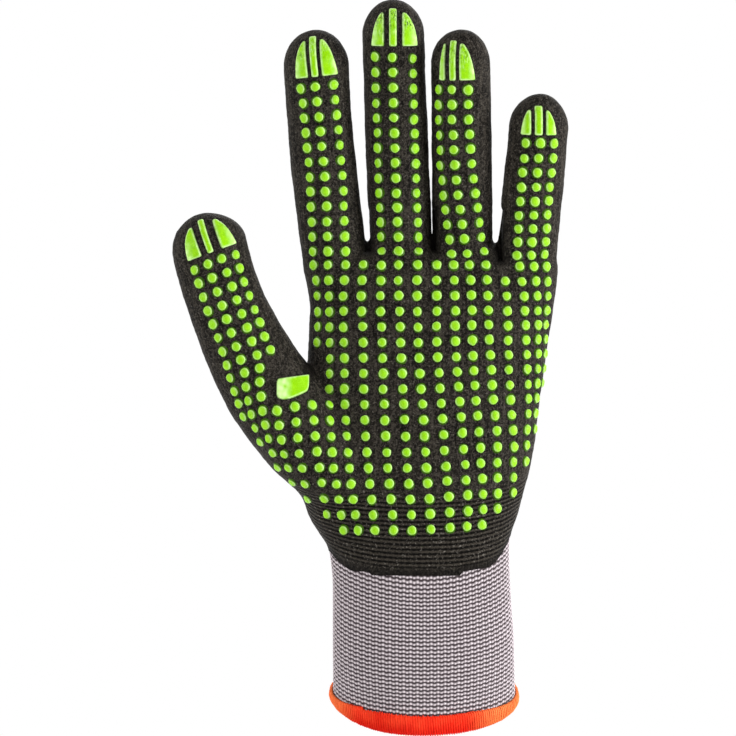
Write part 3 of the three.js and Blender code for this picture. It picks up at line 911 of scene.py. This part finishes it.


# Printed pads: flat shapes laid on the skin, with rounded edges

# some values below set the painted highlight along each pad's rim and one side, and the painted
# shade round its foot
pads = dict(
    height=0.8, roundness=0.8, step=0.34, corner=0.6, sink=0.12, margin=0.4, above=40, snap=0.03,
    rimHeight=0.18, stray=0.03, highlightBand=(0.2, 0.75), footShadeBand=(0.0, 0.3), highlightSwing=(0.85, 0.5),
    wornSwing=(0.9, 0.7), wornEnds=(2, 3), archPower=0.85, archTop=0.7,
)
tipPrints = dict(  # slots beside the bar; reach from the bar's middle to each side; lean in degrees
    index=dict(height=13.2, inset=0.9, bar=2.4, slots=(1.0, 1.0), reach=(6.7, 7.2),
               shift=1.0, lean=3.5, worn=0.35, arch=0.91),
    middle=dict(height=12.3, inset=1.6, bar=2.6, slots=(1.5, 1.65), reach=(7.1, 8.1),
                shift=-0.35, lean=-1.5, worn=0.8, arch=0.9),
    ring=dict(height=13, inset=2.0, bar=2.3, slots=(1.3, 1.0), reach=(4.8, 7.2),
              shift=-1.0, lean=0.0, worn=0.55, arch=0.93),
    little=dict(height=9.5, inset=2.1, bar=2.65, slots=(1.0, 1.0), reach=(5.8, 6.0),
                shift=-0.85, lean=4.0, worn=0.1, arch=0.86),
    thumb=dict(height=11.5, inset=1.1, bar=2.2, slots=(2.0, 2.5), reach=(8.3, 8.7),
               shift=1.1, lean=7.0, worn=0.05, arch=0.88),
)
highlightFrom = dict(left=(-0.62, -0.95), bar=(1, 2), right=(0.65, 1.0))  # where each pad's painted highlight starts and where it is full, as shares of the reach
forkPatch = dict(
    # pale: where the patch's painted highlight starts and where it is full, as x
    pale=(-43.5, -47.0),
    corners=[(-48.9, 102.3), (-47.7, 101.2), (-45.3, 101.1), (-42.7, 101.9), (-38.8, 103.8),
             (-38.3, 105.0), (-38.3, 109.5), (-48.6, 108.2), (-48.9, 107.6)],
)


def insideShape(a, b, corners):  # distance inside a convex shape whose corners run anticlockwise
    cover = np.full(a.shape, 50.0)
    for (x0, y0), (x1, y1) in zip(corners, corners[1:] + corners[:1]):
        run = math.hypot(x1 - x0, y1 - y0)
        cover = meet(cover, ((x1 - x0) * (b - y0) - (y1 - y0) * (a - x0)) / run, pads["corner"])
    return cover


def castOnSkin(skinTree, grid, into):
    hits, normals = [], []
    for g in grid:
        place, normal, _, _ = skinTree.ray_cast(Vector(g - into * pads["above"]), Vector(into))
        hits.append(place if place else g)
        normals.append(normal if place else -into)
    return np.array(hits), np.array(normals)


def layOnSkin(skinTree, name, corners, origin, across, up, into, worn, pale):
    corners = [(float(a), float(b)) for a, b in corners]
    lows = np.min(corners, axis=0) - pads["margin"]
    highs = np.max(corners, axis=0) + pads["margin"]
    counts = np.ceil((highs - lows) / pads["step"]).astype(int) + 1
    lines = [np.linspace(l, h, c) for l, h, c in zip(lows, highs, counts)]
    a, b = (g.ravel() for g in np.meshgrid(*lines, indexing="ij"))
    grid = origin + a[:, None] * across + b[:, None] * up
    points, normals = castOnSkin(skinTree, grid, into)
    ways = unit(relaxGrid(normals, counts, 4))
    cells = np.meshgrid(np.arange(counts[0] - 1), np.arange(counts[1] - 1), indexing="ij")
    corner = cells[0].ravel() * counts[1] + cells[1].ravel()
    faces = np.stack([corner, corner + counts[1], corner + counts[1] + 1, corner + 1], 1)
    flat = np.stack([a, b, np.zeros_like(a)], -1)
    cut, cutFaces = clip(flat, faces, insideShape(a, b, corners), pads["snap"])

    # the cut shape's points go back on the skin by their two numbers
    number = (cut[:, :2] - lows) / (highs - lows) * (counts - 1)
    low = np.clip(number.astype(int), 0, counts - 2)
    s, t = (number - low).T

    def at(values):
        base = low[:, 0] * counts[1] + low[:, 1]
        near = values[base] * (1 - t)[:, None] + values[base + 1] * t[:, None]
        base = base + counts[1]
        far = values[base] * (1 - t)[:, None] + values[base + 1] * t[:, None]
        return near * (1 - s)[:, None] + far * s[:, None]

    place, way = at(points), unit(at(ways))
    inside = np.maximum(insideShape(cut[:, 0], cut[:, 1], corners), 0)
    rim = np.minimum(inside / pads["roundness"], 1)
    foot = pads["rimHeight"]
    high = pads["height"] * (foot + (1 - foot) * np.sqrt(1 - (1 - rim) ** 2))
    high = high + waver(place, 1.6, 11) * pads["stray"]
    whole, allFaces = wall(place + way * high[:, None], place - way * pads["sink"], cutFaces)

    # painted highlight on one side of each pad and along its rim, and painted shade round its foot;
    # pale gives where the highlight starts and is full, and the worn specks are wear
    base, swing = pads["highlightSwing"]
    paintedHighlight = smoothStep(0, 1, (cut[:, 0] - pale[0]) / (pale[1] - pale[0]))
    paintedHighlight = np.maximum(1 - smoothStep(*pads["highlightBand"], inside), paintedHighlight)
    paintedHighlight = np.clip(paintedHighlight * (base + swing * waver(place, 2.2, 13)), 0, 1)
    base, swing = pads["wornSwing"]
    first, last = lows[1] + pads["wornEnds"][0], highs[1] - pads["wornEnds"][1]
    use = worn * smoothStep(first, last, cut[:, 1]) * (base + swing * waver(place, 3.0, 12))
    marks = dict(rim=paintedHighlight, foot=1 - smoothStep(*pads["footShadeBand"], inside), worn=np.clip(use, 0, 1))
    marks = {key: np.tile(values, 2) for key, values in marks.items()}
    return makePiece(name, whole, allFaces, finishes["grip"], marks=marks)


def relaxGrid(values, counts, rounds):
    grid = values.reshape(*counts, 3)
    for _ in range(rounds):
        padded = np.pad(grid, ((1, 1), (1, 1), (0, 0)), mode="edge")
        beside = padded[:-2, 1:-1] + padded[2:, 1:-1] + padded[1:-1, :-2] + padded[1:-1, 2:]
        grid = (beside + 2 * grid) / 6
    return grid.reshape(-1, 3)


def buildPads(skinTree):
    for tube in tubes[1:]:
        row = tipPrints[tube.name]
        base = np.array([tube.w[-1] - row["inset"] - row["height"]])
        centre, along, across = (x[0] for x in tube.frame(base, "centre", "along", "across"))
        into = np.cross(along, across)
        lean = math.radians(row["lean"])
        up = along * math.cos(lean) - across * math.sin(lean)
        across = across * math.cos(lean) + along * math.sin(lean)
        centre, half, tall = centre + across * row["shift"], row["bar"] / 2, row["height"]
        shapes = dict(bar=[(-half, 0), (half, 0), (half, tall), (-half, tall)])
        for side, way, slot, reach in zip(("left", "right"), (-1, 1), row["slots"], row["reach"]):
            inner = half + slot
            top = math.acos((inner + pads["archTop"]) / reach)
            arch = [(reach * math.cos(top * t) ** pads["archPower"],
                     row["arch"] * tall * math.sin(top * t) / math.sin(top))
                    for t in (0, 0.2, 0.4, 0.6, 0.8, 1)]
            corners = [(way * a, b) for a, b in [(inner, 0)] + arch + [(inner, arch[-1][1])]]
            shapes[side] = corners[::way]
        for side, corners in shapes.items():
            name = f"pad_{tube.name}_{side}"
            pale = [p * row["reach"][side == "right"] for p in highlightFrom[side]]
            piece = layOnSkin(skinTree, "print_" + name, corners, centre, across, up, into,
                              row["worn"], pale)
            own(piece, "grip_print", name)
    patch = layOnSkin(skinTree, "print_patch", forkPatch["corners"], np.zeros(3),
                      np.array([1.0, 0, 0]), np.array([0, 0, 1.0]), throughHand, 0.0,
                      forkPatch["pale"])
    own(patch, "grip_print", "patch_thumb_fork")
    print("pads laid on the skin")


# Printed dots, charted column by column as they lie on the palm side

dots = dict(radius=1.62, narrow=0.94, height=0.85, sink=0.5, around=12, stray=0.07, seed=4)
dotColumns = [  # the first and last dot's x and z, a bow to the side and a sag in height
    dict(first=(-41.0, 204.8), last=(-37.0, 150.5), count=12, bow=0.8, sag=0.0),
    dict(first=(-36.3, 205.5), last=(-32.0, 150.5), count=12, bow=0.8, sag=0.0),
    dict(first=(-30.3, 206.1), last=(-26.3, 150.5), count=12, bow=0.8, sag=0.0),
    dict(first=(-16.2, 215.2), last=(-14.1, 150.5), count=14, bow=-0.1, sag=-0.4),
    dict(first=(-10.6, 215.2), last=(-8.5, 150.5), count=14, bow=-0.1, sag=-0.4),
    dict(first=(-3.9, 214.8), last=(-1.8, 150.5), count=14, bow=-0.1, sag=-0.4),
    dict(first=(5.0, 204.5), last=(9.3, 149.5), count=12, bow=-1.3, sag=-0.3),
    dict(first=(9.3, 204.5), last=(14.3, 149.8), count=12, bow=-1.2, sag=-0.3),
    dict(first=(14.6, 204.5), last=(20.0, 150.5), count=12, bow=-1.1, sag=-0.3),
    dict(first=(34.0, 186.6), last=(31.0, 149.2), count=9, bow=-0.4, sag=-0.7),
    dict(first=(38.7, 186.6), last=(35.7, 149.2), count=9, bow=-0.3, sag=-0.7),
    dict(first=(43.3, 186.6), last=(40.1, 149.5), count=9, bow=-0.2, sag=-0.7),
    dict(first=(-76.6, 144.4), last=(-65.6, 112.6), count=8, bow=0.0, sag=0.0),
    dict(first=(-64.4, 108.2), last=(-60.3, 95.5), count=4, bow=0.0, sag=0.0),
    dict(first=(-72.1, 146.3), last=(-61.0, 114.3), count=8, bow=0.0, sag=0.0),
    dict(first=(-59.7, 110.1), last=(-54.5, 87.0), count=6, bow=-1.0, sag=0.0),
    dict(first=(-67.4, 148.1), last=(-55.8, 115.9), count=8, bow=0.0, sag=0.0),
    dict(first=(-54.7, 111.6), last=(-48.7, 78.7), count=8, bow=-1.6, sag=0.0),
    dict(first=(-63.0, 149.4), last=(-51.2, 117.7), count=8, bow=-0.3, sag=0.0),
    dict(first=(-48.9, 97.4), last=(-44.0, 73.7), count=6, bow=-0.5, sag=0.0),
    dict(first=(-43.0, 98.7), last=(-38.7, 68.0), count=7, bow=-0.6, sag=0.0),
    dict(first=(-37.3, 99.3), last=(-32.3, 63.0), count=8, bow=-0.4, sag=0.0),
]
# the rows rise to the right further down, and drop a little at the little finger and the wrist
palmRows = dict(
    top=146.0, pitch=5.17, rise=0.09, riseRow=7.0, riseFrom=-1.0, sideDrop=0.5, sideFrom=(20, 30),
    lowDrop=0.55, lowFrom=(9.5, 13), risePower=1.5,
)
palmColumns = [  # the last row with a dot, the first if it isn't 0, and x at some of the rows
    dict(last=5, x={0: -36.7, 2: -35.4, 5: -35.5}),
    dict(last=17, x={0: -31.9, 2: -31.5, 5: -31.3, 9: -31.5, 12: -30.7, 16: -27.5, 17: -26.7}),
    dict(last=17, x={0: -26.2, 2: -26.9, 5: -26.6, 9: -26.3, 12: -25.4, 16: -22.9, 17: -22.0}),
    dict(last=17, x={0: -20.2, 2: -20.8, 5: -20.3, 9: -19.9, 12: -19.0, 16: -16.9, 17: -16.3}),
    dict(last=17, x={0: -14.3, 2: -14.5, 5: -13.9, 9: -13.3, 12: -12.4, 16: -10.5, 17: -10.0}),
    dict(last=17, x={0: -8.6, 2: -8.4, 5: -7.7, 9: -6.7, 12: -5.9, 16: -4.2, 17: -4.0}),
    dict(last=17, x={0: -2.0, 2: -2.3, 5: -2.0, 9: -0.4, 12: 0.5, 16: 2.1, 17: 2.3}),
    dict(last=17, x={0: 4.3, 2: 4.2, 5: 4.3, 9: 5.8, 12: 6.9, 16: 8.5, 17: 8.7}),
    dict(last=17, x={0: 9.9, 2: 10.2, 5: 10.5, 9: 11.9, 12: 13.2, 16: 14.6, 17: 14.3}),
    dict(last=17, x={0: 15.2, 2: 15.8, 5: 16.1, 9: 17.3, 12: 18.8, 16: 19.7, 17: 19.3}),
    dict(last=16, x={0: 20.6, 2: 21.2, 5: 21.8, 9: 23.0, 12: 24.4, 16: 24.5}),
    dict(first=1, last=15, x={1: 27.1, 2: 27.6, 5: 28.0, 9: 28.8, 12: 29.9, 15: 29.7}),
    dict(last=13, x={0: 31.9, 2: 33.2, 5: 34.0, 9: 34.6, 13: 34.0}),
    dict(last=11, x={0: 36.5, 2: 37.7, 5: 38.0, 8: 37.7, 11: 37.0}),
    dict(last=8, x={0: 40.7, 2: 41.2, 4: 40.5, 6: 40.3, 8: 39.4}),
]


def dotPlaces(skinTree):
    chart = []
    for c in dotColumns:
        t = np.linspace(0, 1, c["count"])
        middle = 4 * t * (1 - t)
        x = c["first"][0] * (1 - t) + c["last"][0] * t + c["bow"] * middle
        chart += list(zip(x, c["first"][1] * (1 - t) + c["last"][1] * t + c["sag"] * middle))
    for c in palmColumns:
        rows = np.arange(c.get("first", 0), c["last"] + 1)
        x = easeThrough(list(c["x"]), list(c["x"].values()), rows)
        grown = 1 - np.exp(-(rows / palmRows["riseRow"]) ** palmRows["risePower"])
        rise = palmRows["rise"] * grown * np.maximum(x - palmRows["riseFrom"], 0)
        rise = rise - palmRows["sideDrop"] * smoothStep(*palmRows["sideFrom"], x)
        rise = rise - palmRows["lowDrop"] * smoothStep(*palmRows["lowFrom"], rows)
        chart += list(zip(x, palmRows["top"] - palmRows["pitch"] * rows + rise))
    stray = np.random.default_rng(dots["seed"])
    places, ways = [], []
    for x, z in chart:
        x, z = x + stray.normal() * dots["stray"], z + stray.normal() * dots["stray"]
        way = np.array([x, view["middle"][1], z]) - eye
        place, normal, _, _ = skinTree.ray_cast(Vector(eye), Vector(way))
        if place:
            places.append(place)
            ways.append(normal)
    return np.array(places), np.array(ways)


domeRings = [  # radius, height, how much painted highlight and how much painted shade
    (1.34, -dots["sink"], 0, 1), (1.27, -0.06, 0, 1), (1.02, 0.14, 0, 0.97), (0.94, 0.5, 1, 0.1),
    (0.68, 0.88, 0.1, 0),
]
domeHighlight = dict(towards=0.35, at=(-1, -0.2, 0.2, 1), share=(0.75, 0.2, 0.3, 1.0))  # the painted highlight is stronger at the sides


def dome():  # one dot: a low dome, with a thin skirt of painted shade where the print meets the skin
    around, last = dots["around"], len(domeRings) * dots["around"]
    turns = 2 * math.pi * np.arange(around) / around
    wide, tall, high = dots["narrow"] * dots["radius"], dots["radius"], dots["height"]
    points = [(wide * r * math.cos(t), tall * r * math.sin(t), high * h if h > 0 else h)
              for r, h, _, _ in domeRings for t in turns]
    points.append((0, 0, high))
    faces = [tuple(f) for f in ringFaces(len(domeRings), around, False)]
    faces += [(last - around + i, last - around + (i + 1) % around, last) for i in range(around)]
    faces.append(tuple(reversed(range(around))))
    # painted highlight on the dome's shoulder, stronger at the sides, and painted shade on its
    # skirt
    rim, foot = (np.append(np.repeat([r[k] for r in domeRings], around), 0.0) for k in (2, 3))
    side = np.interp(np.cos(turns - domeHighlight["towards"]), domeHighlight["at"], domeHighlight["share"])
    rim[:last] *= np.tile(side, len(domeRings))
    return makePiece("dotShape", points, faces, finishes["grip"],
                     marks=dict(rim=rim, foot=foot, worn=rim * 0))


def geometryTree(name, sizes):  # a new tree with an input for geometry and one for each size
    tree = bpy.data.node_groups.new(name, "GeometryNodeTree")
    tree.interface.new_socket("Geometry", in_out="INPUT", socket_type="NodeSocketGeometry")
    for label in sizes:
        tree.interface.new_socket(label, in_out="INPUT", socket_type="NodeSocketFloat")
    tree.interface.new_socket("Geometry", in_out="OUTPUT", socket_type="NodeSocketGeometry")
    return tree, tree.nodes.new("NodeGroupInput"), tree.nodes.new("NodeGroupOutput")


def bake(piece, tree, values, name):  # runs a tree on a piece and keeps the result as a plain mesh
    modifier = piece.modifiers.new(name, "NODES")
    modifier.node_group = tree
    for item in tree.interface.items_tree:
        if item.in_out == "INPUT" and item.name in values:
            modifier[item.identifier] = values[item.name]
    depsgraph = bpy.context.evaluated_depsgraph_get()
    mesh = bpy.data.meshes.new_from_object(piece.evaluated_get(depsgraph))
    piece.modifiers.remove(modifier)
    bpy.data.objects.remove(piece)
    return addObject(name, mesh)


def copiesTree(name, material, shape):  # copies of a shape at points, turned to two directions
    tree, start, end = geometryTree(name, ["Size", "Size spread", "Dent", "Dent size"])
    wire = Wire(tree)
    given = {s.name: Wire(tree, s) for s in start.outputs if s.name}
    attribute = lambda label: wire.node(
        "GeometryNodeInputNamedAttribute", {"data_type": "FLOAT_VECTOR"}, {"Name": label})
    turn = wire.node("FunctionNodeAxesToRotation", {"primary_axis": "Z", "secondary_axis": "X"},
                     {"Primary Axis": attribute("up"), "Secondary Axis": attribute("side")})
    shapeWire = wire.node("GeometryNodeObjectInfo", {"transform_space": "ORIGINAL"},
                          {"Object": shape}, "Geometry")
    spread = wire.node("FunctionNodeRandomValue", {"data_type": "FLOAT"}, {"Seed": 3}, 1)
    size = given["Size"] + (spread - 0.5) * given["Size spread"]
    copies = wire.node("GeometryNodeInstanceOnPoints", values={
        "Points": given["Geometry"], "Instance": shapeWire, "Rotation": turn, "Scale": size})
    solid = wire.node("GeometryNodeRealizeInstances", values={"Geometry": copies})
    place = wire.node("GeometryNodeInputPosition")
    stray = wire.node("ShaderNodeTexNoise", values={
        "Vector": place, "Scale": 1 / given["Dent size"], "Detail": 1.0}, out="Color")
    centred = wire.node("ShaderNodeVectorMath", {"operation": "SUBTRACT"},
                        {0: stray, 1: (0.5, 0.5, 0.5)})
    moved = wire.node("ShaderNodeVectorMath", {"operation": "SCALE"},
                      {0: centred, "Scale": given["Dent"]})
    bent = wire.node("GeometryNodeSetPosition", values={"Geometry": solid, "Offset": moved})
    done = wire.node("GeometryNodeSetMaterial", values={"Geometry": bent, "Material": material})
    tree.links.new(done.link, end.inputs[0])
    return tree


def bakeCopies(name, slot, shape, finish, places, ups, sides, sizes):
    mesh = bpy.data.meshes.new(name + "Points")
    mesh.from_pydata((places * mm).tolist(), [], [])
    for label, values in (("up", ups), ("side", sides)):
        addMark(mesh, label, np.resize(values, (len(places), 3)), "FLOAT_VECTOR", "vector")
    tree = copiesTree(name + "Copies", finish, shape)
    made = bake(addObject(name + "Points", mesh), tree, dict(sizes, Size=1.0), name)
    bpy.data.objects.remove(shape)
    own(made, slot)
    made.data.shade_smooth()
    return made


def buildDots(skinTree):
    places, ups = dotPlaces(skinTree)
    sizes = {"Size spread": 0.12, "Dent": 0.6 * mm, "Dent size": 1.6 * mm}
    made = bakeCopies("gripDots", "grip_print", dome(), finishes["grip"], places, ups,
                      [1.0, 0, 0], sizes)
    print("grip dots:", len(places), "dots,", len(made.data.polygons), "faces")


# The overlocked hem: a rolled edge, with threads over it

hem = dict(
    around=360, overlap=0.16, overlapFrom=(-0.3, -0.26), overlapTo=(-0.132, -0.126), tallFrom=1,
    sideFrom=(0.08, 0.25), lowLeft=0.6, lowRight=0.42, liftLeft=1.5, liftRight=0.1,
    girth=165.0, threads=204, thread=0.24, flat=0.8, lean=0.9, sides=5, proud=0.14, threadEnd=16,
    middle=(-0.5, 2.6),
)
hemTone = dict(  # where painted shade makes the thread darker red, low on the roll, and where painted light makes it orange, at the sides
    low=(0.6, 4.2), underShadeSides=(16, 28), underShadeLess=0.6, right=(13, 26), left=(21, 31), leftShare=0.8,
)
hemProfile = [  # out from the cuff's outer face and up from the mouth, round the roll
    (0.25, 5.6), (0.75, 5.7), (1.05, 5.3), (1.18, 4.3), (1.22, 3.0), (1.2, 1.8), (1.05, 0.8),
    (0.6, 0.15), (-0.2, -0.1), (-1.0, -0.1), (-1.8, 0.15), (-2.25, 0.8), (-2.35, 1.8),
    (-2.35, 3.2), (-2.1, 4.3), (-1.6, 4.6), (-1.35, 4.2), (-1.35, 2.6), (-1.3, 1.4),
    (-0.6, 0.95), (0.15, 1.4), (0.2, 3.4),
]


def hemPoint(share, out, up):  # the roll is taller where the overlock runs over its own start
    over = smoothStep(*hem["overlapFrom"], share) * (1 - smoothStep(*hem["overlapTo"], share))
    side, right = smoothStep(*hem["sideFrom"], np.abs(share)), share > 0
    low = np.where(right, hem["lowRight"], hem["lowLeft"])
    lift = np.where(right, hem["liftRight"], hem["liftLeft"])
    tall = (1 + hem["overlap"] * over) * (1 - low * side)
    return cuffPoint(share, up * np.where(up > hem["tallFrom"], tall, 1.0) + lift * side, out)


def underShadeMark(x, up):  # painted shade: darker red towards the lower edge, and less so at the sides
    less = hemTone["underShadeLess"] * smoothStep(*hemTone["underShadeSides"], np.abs(x))
    return (1 - smoothStep(*hemTone["low"], up)) * (1 - less)


def sideLightMark(x):  # painted light: orange towards the two sides, and sooner on the right
    left = smoothStep(*hemTone["left"], -x) * hemTone["leftShare"]
    return np.where(x > 0, smoothStep(*hemTone["right"], x), left)


def threadShape():  # a thin tube that lies over the roll, from its top round to the inside
    path = np.array(hemProfile[:hem["threadEnd"]], float)
    path = path + unit(path - np.array(hem["middle"])) * hem["proud"]
    lean = np.linspace(-1, 1, len(path)) * hem["lean"]
    spine = np.stack([lean, -path[:, 0], path[:, 1]], -1)
    ahead = unit(np.gradient(spine, axis=0))
    side = unit(np.cross(ahead, np.tile([1.0, 0, 0], (len(ahead), 1))))
    other = np.cross(ahead, side)
    turn = 2 * math.pi * np.arange(hem["sides"]) / hem["sides"]
    rings = [spine + hem["thread"] * (side * math.cos(a) * hem["flat"] + other * math.sin(a))
             for a in turn]
    points = np.stack(rings, 1).reshape(-1, 3)
    faces = [tuple(f) for f in ringFaces(len(path), hem["sides"], False)[:, ::-1]]
    faces.append(tuple(range(hem["sides"])))
    faces.append(tuple(reversed(range(len(points) - hem["sides"], len(points)))))
    # painted shade low on each thread too
    low = underShadeMark(np.zeros(len(points)), points[:, 2])
    return makePiece("threadShape", points, faces, finishes["thread"], marks=dict(low=low))


def buildHem():
    share = np.arange(hem["around"]) / hem["around"] - 0.5
    profile = np.array(hemProfile)
    halfWay = (profile + np.roll(profile, -1, axis=0)) / 2
    smooth = np.stack([profile, halfWay], 1).reshape(-1, 2)
    rings = [hemPoint(share, *(np.full(len(share), size) for size in row)) for row in smooth]
    faces = ringFaces(len(rings), len(share), True)[:, ::-1]
    points = np.concatenate(rings)
    # painted shade low on the roll and painted light at the sides
    marks = dict(low=underShadeMark(points[:, 0], np.repeat(smooth[:, 1], len(share))),
                 aside=sideLightMark(points[:, 0]))
    roll = makePiece("hemRoll", points, faces, finishes["thread"], marks=marks)
    own(roll, "hem_thread", "hem_overlock")

    # the threads lie side by side on a straight line first, and are then bent round the roll
    base = np.zeros((hem["threads"], 3))
    base[:, 0] = ((np.arange(hem["threads"]) + 0.5) / hem["threads"] - 0.5) * hem["girth"]
    sizes = {"Size spread": 0.05, "Dent": 0.4 * mm, "Dent size": 1.6 * mm}
    made = bakeCopies("hemThreads", "hem_thread", threadShape(), finishes["thread"], base,
                      [0.0, 0, 1], [1.0, 0, 0], sizes)
    places = np.zeros(len(made.data.vertices) * 3, np.float32)
    made.data.vertices.foreach_get("co", places)
    places = places.reshape(-1, 3) / mm
    places = hemPoint(places[:, 0] / hem["girth"], -places[:, 1], places[:, 2])
    made.data.vertices.foreach_set("co", (places * mm).ravel())
    # painted light towards the sides of the hem
    addMark(made.data, "aside", sideLightMark(places[:, 0]))
    print("hem:", len(faces), "faces of roll and", len(made.data.polygons), "of threads")


# The stage


stage = dict(
    floorRadius=1.6, floorDrop=-0.125, cardSize=2.4, cardPlace=(0, -2.6, 0.4),
    aim=(-0.01, 0, 0.11), clipEnd=20,
)
lamps = [  # place, size and power of each soft lamp, all aimed at the palm
    dict(name="softLeft", place=(-1.0, -0.7, 0.3), size=0.4, power=5.5),
    dict(name="softRight", place=(1.15, -0.35, 0.2), size=0.4, power=16),
    dict(name="softTop", place=(0.0, -0.6, 1.0), size=0.5, power=2),
    dict(name="softBack", place=(0.2, 1.0, 0.7), size=0.6, power=3),
]


def stageSheet(name, bm, move, material):
    bm.transform(move)
    mesh = bpy.data.meshes.new(name)
    bm.to_mesh(mesh)
    bm.free()
    mesh.materials.append(material)
    sheet = addObject(name, mesh)
    return sheet


def buildStage():
    bm = bmesh.new()
    bmesh.ops.create_circle(bm, cap_ends=True, segments=96, radius=stage["floorRadius"])
    paint = Finish("floorPaint", Roughness=0.9)
    tone = paint.noise(120, 2.0).mix(colour(0.95, 0.95, 0.95), colour(0.97, 0.97, 0.97))
    stageSheet("floor", bm, Matrix.Translation((0, 0, stage["floorDrop"])),
               paint.feed(Base_Color=tone))
    # a dark card behind the camera keeps the middle of the palm dark and its edges bright
    bm = bmesh.new()
    bmesh.ops.create_grid(bm, x_segments=2, y_segments=2, size=stage["cardSize"])
    paint = Finish("cardPaint", Roughness=0.95)
    paint.shader.inputs["Base Color"].default_value = colour(0.03, 0.03, 0.03)
    move = Matrix.Translation(stage["cardPlace"]) @ Matrix.Rotation(-math.pi / 2, 4, "X")
    stageSheet("darkCard", bm, move, paint.material).visible_camera = False
    world = bpy.data.worlds.new("studio")
    world.use_nodes = True
    background = world.node_tree.nodes["Background"].inputs
    background["Color"].default_value, background["Strength"].default_value = (1, 1, 1, 1), 1.0
    bpy.context.scene.world = world
    bpy.context.scene.view_settings.view_transform = "Standard"
    for row in lamps:
        lamp = addObject(row["name"], bpy.data.lights.new(row["name"], "AREA"))
        lamp.data.size, lamp.data.energy = row["size"], row["power"]
        lamp.location = row["place"]
        aim = Vector(stage["aim"]) - lamp.location
        lamp.rotation_euler = aim.to_track_quat("-Z", "Y").to_euler()


def buildCamera():
    lens = bpy.data.cameras.new("camera")
    lens.sensor_width = view["sensor"]
    lens.lens = view["sensor"] * view["away"] / view["across"]
    lens.clip_end = stage["clipEnd"]
    camera = addObject("camera", lens)
    camera.location = eye * mm
    camera.rotation_euler = (math.pi / 2, 0, 0)
    bpy.context.scene.camera = camera


buildKnitHand()
buildCuff()
skinTree = buildSkin()
buildPads(skinTree)
buildDots(skinTree)
buildHem()
buildStage()
buildCamera()
